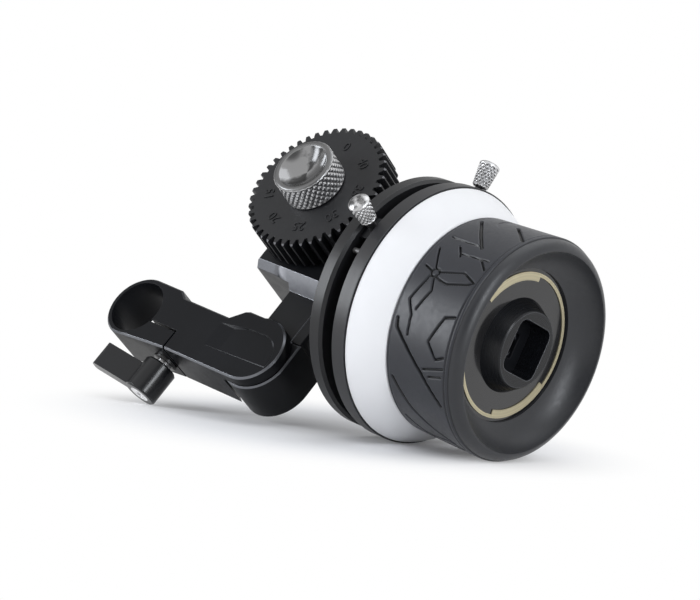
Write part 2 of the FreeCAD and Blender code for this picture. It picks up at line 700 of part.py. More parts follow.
def flange_screws():
    head = FLANGE_SCREW_HEAD
    screw = cap_screw(FLANGE_SCREW_R, head, head, TUBE_FLANGE_T + FLANGE_SCREW_DEPTH)
    return [aim(screw, polar(FLANGE_SCREW_PITCH_R, angle, FLANGE_X - TUBE_FLANGE_T - head), -X_AXIS)
            for angle in FLANGE_SCREW_ANGLES]


def flange_screw_holes(shape):
    x0, x1 = FLANGE_X - TUBE_FLANGE_T - PASS, FLANGE_X + FLANGE_SCREW_DEPTH
    for angle in FLANGE_SCREW_ANGLES:
        centre = polar(FLANGE_SCREW_PITCH_R, angle, 0)
        shape = shape.cut(rod_x(FLANGE_SCREW_R, x0, x1, centre.y, centre.z))
    return shape


def bearing_tube():
    back_x = FLANGE_X - TUBE_FLANGE_T
    tube = turned((SPIGOT_TUBE_X, TUBE_BORE_R), ((SPIGOT_TUBE_X, SPIGOT_TUBE_R),),
                  ((SIDE_X, SPIGOT_TUBE_R),), ((SIDE_X, TUBE_R),), ((back_x, TUBE_R),),
                  ((back_x, TUBE_FLANGE_R - FLANGE_EDGE),), ((back_x + FLANGE_EDGE, TUBE_FLANGE_R),),
                  ((FLANGE_X, TUBE_FLANGE_R),), ((FLANGE_X, TUBE_BORE_R),))
    return flange_screw_holes(tube)


def stop_flange():
    front = DISC_X - GAP
    pocket_x = TRACK_X - DRUM_POCKET
    seat_x = OUTER_BEARING_X[0]
    disc = turned((FLANGE_X, TUBE_BORE_R), ((FLANGE_X, FLANGE_DISC_R - FLANGE_EDGE),),
                  ((FLANGE_X + FLANGE_EDGE, FLANGE_DISC_R),), ((TRACK_X - FLANGE_BEVEL, FLANGE_DISC_R),),
                  ((TRACK_X, FLANGE_DISC_R - FLANGE_BEVEL),), ((TRACK_X, DRUM_R),), ((front, DRUM_R),),
                  ((front, DRUM_R - DRUM_WALL),), ((pocket_x, DRUM_R - DRUM_WALL),),
                  ((pocket_x, BEARING_SEAT_R),), ((front, BEARING_SEAT_R),), ((front, OUTER_BEARING_R),),
                  ((seat_x, OUTER_BEARING_R),), ((seat_x, TUBE_BORE_R),))
    return flange_screw_holes(disc)


# Shafts and gears

def idler_shaft():
    return rod_y(IDLER_SHAFT_R, IDLER_SHAFT_Y, SHAFT_END_Y, GEAR_X, KNOB_Z)


def idler_bevel_gear():
    gear = bevel_gear(IDLER_BEVEL_HUB, IDLER_SHAFT_R)
    half_pitch = 180.0 / BEVEL_TEETH
    gear.rotate(V(0, 0, 0), Z_AXIS, half_pitch)
    return aim_gear(gear, V(GEAR_X, KNOB_Y, KNOB_Z), X_AXIS, Y_AXIS)


def knob_bevel_pinion():
    gear = bevel_gear(KNOB_BEVEL_HUB, IDLER_SHAFT_R)
    return aim_gear(gear, V(GEAR_X, KNOB_Y, KNOB_Z), Y_AXIS, X_AXIS)


def aim_gear(gear, place, tooth_dir, axis):
    """Gear drawn about +Z, set at a place with its axis and first tooth along given directions."""
    moved = gear.copy()
    turn = FreeCAD.Rotation(tooth_dir, axis.cross(tooth_dir), axis, "ZXY")
    moved.Placement = FreeCAD.Placement(place, turn).multiply(moved.Placement)
    return moved


def idler_spur_gear():
    gear = spur_gear(IDLER_TEETH, SMALL_MODULE, SPUR_Y, SPUR_Y + SPUR_T, GEAR_X, KNOB_Z)
    return gear.cut(rod_y(IDLER_SHAFT_R, 0, BACK_Y, GEAR_X, KNOB_Z))


def drive_spur_gear():
    half_pitch = 180.0 / DRIVEN_TEETH
    gear = spur_gear(DRIVEN_TEETH, SMALL_MODULE, SPUR_Y, SPUR_Y + SPUR_T, GEAR_X, GEAR_Z, half_pitch)
    return gear.cut(rod_y(DRIVE_SHAFT_R, 0, BACK_Y, GEAR_X, GEAR_Z))


def gear_dowels():
    return [rod_y(DOWEL_R, DOWEL_Y, DOWEL_END_Y, GEAR_X + side * DOWEL_PITCH_R, GEAR_Z)
            for side in (-1, 1)]


def drive_shaft():
    thread = rod_y(DRIVE_SHAFT_R, THREAD_END_Y, DRIVE_FRONT_Y, GEAR_X, GEAR_Z)
    spigot = rod_y(KNOB_STUB_R, DRIVE_FRONT_Y, COLLAR_Y, GEAR_X, GEAR_Z)
    collar = rod_y(COLLAR_R, COLLAR_Y, COLLAR_END_Y, GEAR_X, GEAR_Z)
    shaft = rod_y(DRIVE_SHAFT_R, COLLAR_END_Y, SHAFT_END_Y, GEAR_X, GEAR_Z)
    whole = thread.fuse([spigot, collar, shaft]).removeSplitter()
    return whole.cut(Part.makeCompound(gear_dowels()))


def drive_gear():
    blank_r = DRIVE_MODULE * (DRIVE_TEETH + 2) / 2 + TOUCH
    length = DRIVE_BACK_Y - DRIVE_FRONT_Y
    gear = spur_gear(DRIVE_TEETH, DRIVE_MODULE, DRIVE_FRONT_Y, DRIVE_BACK_Y, GEAR_X, GEAR_Z)
    blank = turned_z((0, 0), ((blank_r - TOOTH_EDGE, 0),), ((blank_r, TOOTH_EDGE),),
                     ((blank_r, length - TOOTH_EDGE),), ((blank_r - TOOTH_EDGE, length),), ((0, length),))
    gear = gear.common(aim(blank, V(GEAR_X, DRIVE_FRONT_Y, GEAR_Z), Y_AXIS))
    gear = gear.cut(rod_y(KNOB_STUB_R, DRIVE_FRONT_Y - PASS, 0, GEAR_X, GEAR_Z))
    gear = gear.cut(rod_y(COLLAR_R, COLLAR_Y, 0, GEAR_X, GEAR_Z))
    return gear.cut(Part.makeCompound(gear_dowels()))


def gear_thumb_nut():
    length = DRIVE_FRONT_Y - NUT_GAP - NUT_FRONT_Y
    bowl_r = (BOWL_R ** 2 + BOWL_DEPTH ** 2) / (2 * BOWL_DEPTH)
    nut = turned_z((0, 0), ((NUT_R - NUT_EDGE, 0),), ((NUT_R, NUT_EDGE),), ((NUT_R, length - NUT_EDGE),),
                   ((NUT_R - NUT_EDGE, length),), ((0, length),))
    nut = nut.cut(Part.makeSphere(bowl_r, V(0, 0, length + bowl_r - BOWL_DEPTH)))
    nut = nut.cut(Part.makeCylinder(DRIVE_SHAFT_R + RUN, NUT_THREAD_DEPTH, V(0, 0, 0)))
    return aim(nut, V(GEAR_X, DRIVE_FRONT_Y - NUT_GAP, GEAR_Z), -Y_AXIS)


# Knob

def knob_shaft():
    tip = rod_x(IDLER_SHAFT_R, SHAFT_TIP_X, STUB_X)
    stub = rod_x(KNOB_STUB_R, STUB_X, SHAFT_X)
    shaft = rod_x(KNOB_SHAFT_R, SHAFT_X, SPIGOT_X)
    thread = rod_x(HUB_SCREW_R, SHAFT_THREAD_X, SPIGOT_X + PASS)
    return tip.fuse([stub, shaft]).removeSplitter().cut(thread)


def disc_screws(maker=countersunk_screw):
    screw = maker(*DISC_SCREW)
    return [aim(screw, polar(DISC_SCREW_PITCH_R, 45.0 + 90.0 * k, DISC_X), -X_AXIS) for k in range(4)]


def front_disc():
    disc = turned((DISC_X, KNOB_SHAFT_R), ((DISC_X, DISC_R - DISC_EDGE),), ((DISC_X + DISC_EDGE, DISC_R),),
                  ((RING_X, DISC_R),), ((RING_X, KNOB_SHAFT_R),))
    disc = disc.cut(stop_pin())
    return disc.cut(Part.makeCompound(disc_screws(countersunk)))


def stop_pin():
    centre = polar(PIN_RADIUS, PIN_ANGLE, 0)
    return rod_x(PIN_R, TRACK_X + GAP, RING_X, centre.y, centre.z)


def marking_ring():
    end_x = GRIP_X - CONE_GAP
    return turned((RING_X, CORE_R), ((RING_X, CONE_R - DISC_EDGE),), ((RING_X + DISC_EDGE, CONE_R),),
                  (CONE_MIDDLE, (GRIP_X - DISC_EDGE, CONE_END_R)), ((end_x, CONE_END_R - DISC_EDGE),),
                  ((end_x, CORE_R),))


def wheel_core():
    core = turned((RING_X, KNOB_SHAFT_R), ((RING_X, CORE_HUB_R),), ((CORE_WEB_X, CORE_HUB_R),),
                  ((CORE_WEB_X, CORE_BORE_R),), ((RING_X, CORE_BORE_R),), ((RING_X, CORE_R),),
                  ((FACE_X, CORE_R),), ((FACE_X, SPIGOT_R),), ((SPIGOT_X, SPIGOT_R),),
                  ((SPIGOT_X, KNOB_SHAFT_R),))
    return core.cut(Part.makeCompound(disc_screws(countersunk)))


def rubber_grip():
    return turned((GRIP_X, CORE_R), ((GRIP_X, CONE_END_R - DISC_EDGE),), ((GRIP_X + DISC_EDGE, CONE_END_R),),
                  ((RIM_X - GRIP_EDGE, GRIP_R),), ((RIM_X, GRIP_R - GRIP_EDGE),), ((RIM_X, CORE_R),))


def front_rim():
    return turned((FACE_X, LABEL_R), ((FACE_X, CORE_R),), ((RIM_X, CORE_R),), ((RIM_X, RIM_R),),
                  (CROWN, (CREST_X, CREST_R)), ((CREST_X, CREST_R - CREST_EDGE),),
                  (DISH_MIDDLE, (DISH_X, LABEL_R)))


def label_disc():
    return rod_x(LABEL_R, FACE_X, LABEL_X).cut(rod_x(BOSS_R, FACE_X - PASS, LABEL_X + PASS))


def trim_ring():
    """Narrow ring on the label, with two wider stretches."""
    front = LABEL_X + TRIM_T
    disc = rod_x(TRIM_OUT_R, LABEL_X, front)
    ring = disc.cut(rod_x(TRIM_R, LABEL_X - PASS, front + PASS))
    for start, end in TRIM_ARCS:
        inner = polar(TRIM_WIDE_R, 0, LABEL_X)
        outer = polar(TRIM_OUT_R, 0, LABEL_X)
        section = Part.makePolygon([inner, V(front, inner.y, inner.z), V(front, outer.y, outer.z),
                                    outer, inner])
        arc = Part.Face(section).revolve(V(0, KNOB_Y, KNOB_Z), X_AXIS, end - start)
        ring = ring.fuse(around_knob(arc, start))
    return ring.removeSplitter()


def socket_hole(x0, x1, across, corner=SOCKET_CORNER):
    """Square bar along the knob's axis, with rounded corners."""
    half = across / 2
    block = box(x0, x1, KNOB_Y - half, KNOB_Y + half, KNOB_Z - half, KNOB_Z + half)
    along = [e for e in block.Edges if e.BoundBox.XLength > (x1 - x0) / 2]
    block = block.makeFillet(corner, along)
    return around_knob(block, SOCKET_TURN)


def crank_socket():
    boss = turned((SPIGOT_X, 0), ((SPIGOT_X, SPIGOT_R),), ((FACE_X, SPIGOT_R),), ((FACE_X, BOSS_R),),
                  ((LABEL_X, BOSS_R),), ((BOSS_X - DISC_EDGE, BOSS_END_R),),
                  ((BOSS_X, BOSS_END_R - DISC_EDGE),), ((BOSS_X, 0),))
    boss = boss.cut(socket_hole(SOCKET_FLOOR_X, BOSS_X + PASS, SOCKET))
    boss = boss.cut(rod_x(HUB_SCREW_HEAD_R, HUB_SCREW_SEAT_X, SOCKET_FLOOR_X))
    return boss.cut(rod_x(HUB_SCREW_R, SPIGOT_X - PASS, HUB_SCREW_SEAT_X + TOUCH))


def hub_screw():
    screw = cap_screw(HUB_SCREW_R, HUB_SCREW_HEAD_R, HUB_SCREW_HEAD_H, HUB_SCREW_LENGTH)
    return aim(screw, V(HUB_SCREW_X, KNOB_Y, KNOB_Z), X_AXIS)


def socket_plate():
    """Plate at the bottom of the crank socket, with a window for the hub screw's key."""
    top_x = SOCKET_FLOOR_X + SOCKET_PLATE_T
    window = socket_hole(SOCKET_FLOOR_X - PASS, top_x + PASS, SOCKET_WINDOW, WINDOW_CORNER)
    return socket_hole(SOCKET_FLOOR_X, top_x, SOCKET - 2 * RUN).cut(window)


# End stops

def stop_block(angle):
    x0, x1 = TRACK_X + GAP, DISC_X - GAP
    z0, z1 = KNOB_Z + DRUM_R + GAP, KNOB_Z + BLOCK_OUT_R
    face = Part.makePolygon([V(x0, KNOB_Y, z0), V(x1, KNOB_Y, z0), V(x1, KNOB_Y, z1), V(x0, KNOB_Y, z1),
                             V(x0, KNOB_Y, z0)])
    sector = Part.Face(face).revolve(V(0, KNOB_Y, KNOB_Z), X_AXIS, 2 * BLOCK_HALF)
    sector = around_knob(sector, angle - BLOCK_HALF)
    hole = Part.makeCylinder(POST_R + RUN, DISC_R, V(0, 0, DRUM_R - PASS))
    return sector.cut(on_track(hole, angle))


def stop_screw(angle):
    tip_r = DRUM_R + 2 * GAP
    screw = turned_z((0, tip_r), ((POST_R, tip_r),), ((POST_R, THUMB_START),),
                     ((THUMB_R - THUMB_EDGE, THUMB_START),), ((THUMB_R, THUMB_START + THUMB_EDGE),),
                     ((THUMB_R, THUMB_END - THUMB_ROUND),),
                     THUMB_CROWN,
                     ((0, THUMB_END),))
    return on_track(screw, angle)


def on_track(shape, angle):
    """Piece drawn along +Z from the knob's axis, set in the middle of the track at an angle."""
    moved = shape.copy()
    moved.translate(V((TRACK_X + DISC_X) / 2, KNOB_Y, KNOB_Z))
    return around_knob(moved, angle)


# Resting position

def resting_placement():
    """Lay the unit on the front disc's edge, the grip's front edge and the lever hub's lower edge."""
    tip = math.atan((DISC_R - GRIP_R) / (RIM_X - GRIP_EDGE - RING_X))
    lever = V(LEVER_X - RING_X, LEVER_Y - KNOB_Y, LEVER_END_Z - KNOB_Z)

    def up_at(roll):
        return V(-math.sin(tip), -math.cos(tip) * math.sin(roll), math.cos(tip) * math.cos(roll))

    def lever_height(roll):
        up = up_at(roll)
        hub_drop = (LEVER_HUB_R - LEVER_EDGE) * math.hypot(up.x, up.y)
        return up.dot(lever) - hub_drop + DISC_R * math.cos(tip)

    low, high = 0.0, math.radians(70)
    for _ in range(60):
        middle = (low + high) / 2
        if lever_height(middle) < 0:
            low = middle
        else:
            high = middle
    turn = FreeCAD.Rotation(Y_AXIS, math.degrees(tip)).multiply(
        FreeCAD.Rotation(X_AXIS, -math.degrees(high)))
    floor = turn.multVec(V(RING_X, KNOB_Y, KNOB_Z)).z - DISC_R * math.cos(tip)
    return FreeCAD.Placement(V(0, 0, -floor), turn)


def pieces():
    """Every sub-part in its working position: name to solids."""
    return {
        "clamp_arm": [clamp_arm()],
        "clamp_washer": [clamp_washer()],
        "clamp_lever": [clamp_lever()],
        "clamp_screw": [clamp_screw()],
        "lever_cap_screw": [lever_cap(countersunk_screw)],
        "pivot_screw": [pivot_screw()],
        "pivot_washer": [pivot_washer()],
        "pivot_bush": [pivot_bush()],
        "gearbox_housing": [gearbox_housing()],
        "gearbox_side_cover": [gearbox_side_cover()],
        "side_cover_screws": side_screw_set(countersunk_screw),
        "gearbox_back_cover": [gearbox_back_cover()],
        "back_cover_screws": back_screw_set(countersunk_screw),
        "idler_bearings": idler_bearings(),
        "drive_bearings": drive_bearings(),
        "knob_bearing_inner": [knob_bearing_inner()],
        "knob_bearing_outer": [knob_bearing_outer()],
        "bearing_tube": [bearing_tube()],
        "stop_flange": [stop_flange()],
        "flange_screws": flange_screws(),
        "idler_shaft": [idler_shaft()],
        "idler_bevel_gear": [idler_bevel_gear()],
        "idler_spur_gear": [idler_spur_gear()],
        "drive_shaft": [drive_shaft()],
        "drive_spur_gear": [drive_spur_gear()],
        "gear_dowels": gear_dowels(),
        "drive_gear": [drive_gear()],
        "gear_thumb_nut": [gear_thumb_nut()],
        "knob_shaft": [knob_shaft()],
        "knob_bevel_pinion": [knob_bevel_pinion()],
        "front_disc": [front_disc()],
        "disc_screws": disc_screws(),
        "stop_pin": [stop_pin()],
        "marking_ring": [marking_ring()],
        "wheel_core": [wheel_core()],
        "rubber_grip": [rubber_grip()],
        "front_rim": [front_rim()],
        "label_disc": [label_disc()],
        "trim_ring": [trim_ring()],
        "crank_socket": [crank_socket()],
        "socket_plate": [socket_plate()],
        "hub_screw": [hub_screw()],
        "stop_block_a": [stop_block(STOP_A)],
        "stop_screw_a": [stop_screw(STOP_A)],
        "stop_block_b": [stop_block(STOP_B)],
        "stop_screw_b": [stop_screw(STOP_B)],
    }


def bottom_centre(groups, place):
    """Offset that puts the origin under the middle of the resting unit."""
    whole = FreeCAD.BoundBox()
    for solids in groups.values():
        for solid in solids:
            moved = solid.copy()
            moved.Placement = place.multiply(moved.Placement)
            whole.add(moved.optimalBoundingBox(False))
    return V(-whole.Center.x, -whole.Center.y, -whole.ZMin)


def main():
    os.makedirs("parts", exist_ok=True)
    groups = pieces()
    place = resting_placement()
    place.Base = place.Base.add(bottom_centre(groups, place))
    for name, solids in groups.items():
        shape = solids[0] if len(solids) == 1 else Part.makeCompound(solids)
        moved = shape.copy()
        moved.Placement = place.multiply(moved.Placement)
        moved.exportStep("parts/" + name + ".step")


main()
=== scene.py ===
"""Looks of a manual follow focus unit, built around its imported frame.

The frame gives every rigid piece its shape and place.  This add-on gives each piece its finish,
models the grip's tread and the knurled steel, raises plain numbers on the gear, and sets the table,
the lights and the camera.
"""

import json
import math

import bpy
import numpy as np
from bpy.props import FloatProperty, FloatVectorProperty, IntProperty, PointerProperty
from mathutils import Matrix, Vector


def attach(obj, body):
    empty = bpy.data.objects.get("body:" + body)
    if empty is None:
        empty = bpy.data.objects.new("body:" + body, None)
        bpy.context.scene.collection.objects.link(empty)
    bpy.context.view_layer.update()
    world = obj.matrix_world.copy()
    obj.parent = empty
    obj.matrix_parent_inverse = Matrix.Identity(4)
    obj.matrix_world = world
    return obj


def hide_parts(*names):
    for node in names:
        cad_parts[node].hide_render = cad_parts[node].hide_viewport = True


bl_info = {
    "name": "Follow Focus Unit",
    "version": (1, 0, 0),
    "blender": (4, 5, 0),
    "location": "3D View > Sidebar > Follow Focus",
    "description": "Finishes, tread, knurls and studio for a manual follow focus unit",
    "category": "Object",
}

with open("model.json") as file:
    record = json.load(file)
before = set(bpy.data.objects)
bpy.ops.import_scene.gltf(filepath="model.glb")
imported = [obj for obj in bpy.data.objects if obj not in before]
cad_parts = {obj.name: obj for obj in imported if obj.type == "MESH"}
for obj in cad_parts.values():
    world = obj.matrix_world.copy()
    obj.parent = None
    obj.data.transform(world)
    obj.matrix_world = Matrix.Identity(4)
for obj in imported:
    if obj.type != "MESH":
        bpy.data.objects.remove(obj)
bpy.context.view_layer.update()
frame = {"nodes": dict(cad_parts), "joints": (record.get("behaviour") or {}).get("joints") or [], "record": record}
MM = 0.001
TURN = 2 * math.pi


# Axes of the unit, taken from its joints and mounts

JOINTS = {joint["name"]: joint for joint in frame["joints"]}
MOUNTS = {mount["name"]: mount for mount in frame["record"]["mounts"]}
ALONG_KNOB = Vector(JOINTS["knob_spin"]["axis"]).normalized()
ALONG_GEAR = Vector(JOINTS["idler_spin"]["axis"]).normalized()
UP = ALONG_KNOB.cross(ALONG_GEAR)


class Axis:
    """A turning axis: stations along it in millimetres, and points about it by radius and angle."""

    def __init__(self, place, along, start):
        self.origin = Vector(place["pos_m"])
        self.along = along.normalized()
        self.start = (start - start.dot(self.along) * self.along).normalized()
        self.side = self.along.cross(self.start)

    def point(self, station, radius, angle):
        station, radius = float(station), float(radius)
        across = self.start * math.cos(angle) + self.side * math.sin(angle)
        return self.origin + MM * (station * self.along + radius * across)

    def points(self, stations, radii, angles):
        """World points of arrays of stations, radii and angles."""
        along, start, side = (np.array(v) for v in (self.along, self.start, self.side))
        across = np.cos(angles)[..., None] * start + np.sin(angles)[..., None] * side
        return np.array(self.origin) + MM * (stations[..., None] * along + radii[..., None] * across)

    def reach(self, node):
        """Lowest and highest station, and smallest and largest radius, of a node in millimetres."""
        mesh = frame["nodes"][node].data
        points = np.zeros(len(mesh.vertices) * 3)
        mesh.vertices.foreach_get("co", points)
        offsets = (points.reshape(-1, 3) - np.array(self.origin)) / MM
        stations = offsets @ np.array(self.along)
        radii = np.linalg.norm(offsets - stations[:, None] * np.array(self.along), axis=1)
        return tuple(float(end) for end in (stations.min(), stations.max(), radii.min(), radii.max()))


KNOB = Axis(JOINTS["knob_spin"], ALONG_KNOB, UP)
GEAR = Axis(JOINTS["drive_spin"], -ALONG_GEAR, UP)
ARM = Axis(JOINTS["arm_swing"], ALONG_GEAR, UP)
ROD = Axis(MOUNTS["rod_clamp"], ALONG_GEAR, UP)
STOP_JOINTS = {letter: JOINTS["stop_" + letter + "_screw_turn"] for letter in "ab"}
STOPS = {letter: Axis(joint, Vector(joint["axis"]), ALONG_KNOB) for letter, joint in STOP_JOINTS.items()}


# Settings

class TreadSettings(bpy.types.PropertyGroup):
    """Sizes of the tread cut into the rubber grip."""
    repeats: IntProperty(name="Repeats", description="Times the tread's pattern goes round the grip",
                         default=2, min=1)
    depth: FloatProperty(name="Depth", description="Depth of the grooves",
                         default=0.7 * MM, unit="LENGTH")
    width: FloatProperty(name="Width", description="Width of a fine groove",
                         default=0.42 * MM, unit="LENGTH")
    step: FloatProperty(name="Step", description="Spacing of the mesh over the tread",
                        default=0.17 * MM, unit="LENGTH")


class KnurlSettings(bpy.types.PropertyGroup):
    """Sizes of the diamond knurls on the steel screws and the gear's nut."""
    nut_starts: IntProperty(name="Nut starts", description="Grooves each way round the gear's nut",
                            default=32, min=6)
    nut_depth: FloatProperty(name="Nut depth", description="Depth of the knurl on the nut",
                             default=0.38 * MM, unit="LENGTH")
    screw_starts: IntProperty(name="Screw starts", description="Grooves each way round a stop screw",
                              default=12, min=6)
    screw_depth: FloatProperty(name="Screw depth", description="Depth of the knurl on a stop screw",
                               default=0.4 * MM, unit="LENGTH")


class ColourSettings(bpy.types.PropertyGroup):
    """Main colours of the unit."""
    black: FloatVectorProperty(name="Black", description="Black anodised aluminium",
                               default=(0.0055, 0.006, 0.0075), size=3, subtype="COLOR")
    grey: FloatVectorProperty(name="Dark grey", description="Turned dark grey aluminium",
                              default=(0.020, 0.020, 0.022), size=3, subtype="COLOR")
    # The cut colour also paints the highlights on worn edges and on the arm's bevels.
    cut: FloatVectorProperty(name="Cut edge", description="Bright machined edges and facets",
                             default=(0.17, 0.175, 0.19), size=3, subtype="COLOR")
    gear: FloatVectorProperty(name="Gear", description="Black moulding of the lens gear",
                              default=(0.0075, 0.0078, 0.0095), size=3, subtype="COLOR")
    rubber: FloatVectorProperty(name="Rubber", description="Charcoal rubber of the grip",
                                default=(0.014, 0.0155, 0.021), size=3, subtype="COLOR")
    white: FloatVectorProperty(name="White", description="Matt marking surface",
                               default=(0.83, 0.83, 0.84), size=3, subtype="COLOR")
    cream: FloatVectorProperty(name="Cream", description="Pale gold trim on the label",
                               default=(0.46, 0.41, 0.27), size=3, subtype="COLOR")
    steel: FloatVectorProperty(name="Steel", description="Stainless steel",
                               default=(0.53, 0.53, 0.535), size=3, subtype="COLOR")


class StageSettings(bpy.types.PropertyGroup):
    """Camera, lights and table."""
    lens: FloatProperty(name="Lens", description="Focal length of the camera, in millimetres",
                        default=102.857, min=10)
    distance: FloatProperty(name="Distance", description="Camera to the middle of the unit",
                            default=0.48878, unit="LENGTH")
    azimuth: FloatProperty(name="Azimuth", description="Way the camera looks, from +Y towards +X",
                           default=math.radians(-43.098), subtype="ANGLE")
    elevation: FloatProperty(name="Elevation", description="Height of the camera over the level",
                             default=math.radians(2.1735), subtype="ANGLE")
    roll: FloatProperty(name="Roll", description="Lean of the camera about its view",
                        default=math.radians(-6.1195), subtype="ANGLE")
    target: FloatVectorProperty(name="Target",
                                description="Middle of the picture, from the middle of the knob's track",
                                default=(-0.020627, -0.000742, -0.000514), size=3, subtype="TRANSLATION")
    side_power: FloatProperty(name="Side power", description="Power of the tall soft panel at the side",
                              default=3.5, subtype="POWER")
    key_power: FloatProperty(name="Key power", description="Power of the large soft light above",
                             default=2.0, subtype="POWER")
    glint_power: FloatProperty(name="Glint power", description="Power of the small light in front",
                               default=2.4, subtype="POWER")
    sky: FloatProperty(name="Sky", description="Strength of the even light from all round",
                       default=0.59, min=0)


class FollowFocusSettings(bpy.types.PropertyGroup):
    """Everything a user would change."""
    tread: PointerProperty(type=TreadSettings)
    knurl: PointerProperty(type=KnurlSettings)
    colours: PointerProperty(type=ColourSettings)
    stage: PointerProperty(type=StageSettings)


def settings():
    return bpy.context.scene.follow_focus


# Objects and meshes

def new_object(name, data):
    """Object with its data, linked into the scene."""
    made = bpy.data.objects.new(name, data)
    bpy.context.scene.collection.objects.link(made)
    return made


def mesh_piece(name, points, faces, material, body):
    """New smooth piece from world points and faces, riding on a body."""
    mesh = bpy.data.meshes.new(name)
    mesh.from_pydata([tuple(p) for p in points], [], [tuple(f) for f in faces])
    mesh.validate()
    mesh.polygons.foreach_set("use_smooth", [True] * len(mesh.polygons))
    mesh.materials.append(material)
    piece = new_object(name, mesh)
    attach(piece, body)
    return piece


def wrapped_grid(rows, columns):
    """Faces of a grid whose columns close into a ring."""
    row = np.arange(rows - 1)[:, None] * columns
    column = np.arange(columns)[None, :]
    first = row + column
    following = row + (column + 1) % columns
    return np.stack([first, following, following + columns, first + columns], axis=-1).reshape(-1, 4)


def turned_points(axis, stations, radii, columns):
    """Grid of world points for a profile turned about an axis."""
    angles = np.linspace(0, TURN, columns, endpoint=False)
    shape = (len(stations), columns)
    return axis.points(np.broadcast_to(np.array(stations)[:, None], shape),
                       np.broadcast_to(np.array(radii)[:, None], shape),
                       np.broadcast_to(angles[None, :], shape))


def triangle_wave(phase):
    """0 at whole numbers of the phase, 1 half way between them."""
    return 1 - np.abs(2 * (phase - np.floor(phase)) - 1)


def diamond_height(angles, stations, starts, lead):
    """Height of a diamond knurl, from 0 in its grooves to 1 on its points."""
    turns = starts * angles / TURN
    rise = stations / lead
    return np.minimum(triangle_wave(turns + rise), triangle_wave(turns - rise))


# Node trees

class Nodes:
    """Node tree with the small helpers that the finishes, the floor and the sky share."""

    def __init__(self, tree):
        self.tree = tree
        tree.nodes.clear()

    def node(self, kind, **values):
        node = self.tree.nodes.new(kind)
        for name, value in values.items():
            setattr(node, name, value)
        return node

    def link(self, output, target):
        self.tree.links.new(output, target)

    def spread(self, source, low, high, start=0.3, end=0.7, curve="LINEAR"):
        """Source from start to end mapped to low to high."""
        node = self.node("ShaderNodeMapRange", interpolation_type=curve)
        for socket, value in (("From Min", start), ("From Max", end), ("To Min", low), ("To Max", high)):
            node.inputs[socket].default_value = value
        self.link(source, node.inputs["Value"])
        return node.outputs["Result"]

    def band(self, length, limits, low=0.0, high=1.0):
        """Length in metres mapped to low to high between two limits in millimetres."""
        return self.spread(length, low, high, limits[0] * MM, limits[1] * MM)

    def feed(self, node, values):
        """Give a node's first inputs their values, or links to other nodes' outputs."""
        for socket, value in zip(node.inputs, values):
            if isinstance(value, bpy.types.NodeSocket):
                self.link(value, socket)
            else:
                socket.default_value = value

    def math(self, operation, *values):
        node = self.node("ShaderNodeMath", operation=operation)
        self.feed(node, values)
        return node.outputs["Value"]

    def vector_math(self, operation, *values, output="Vector"):
        node = self.node("ShaderNodeVectorMath", operation=operation)
        self.feed(node, values)
        return node.outputs[output]


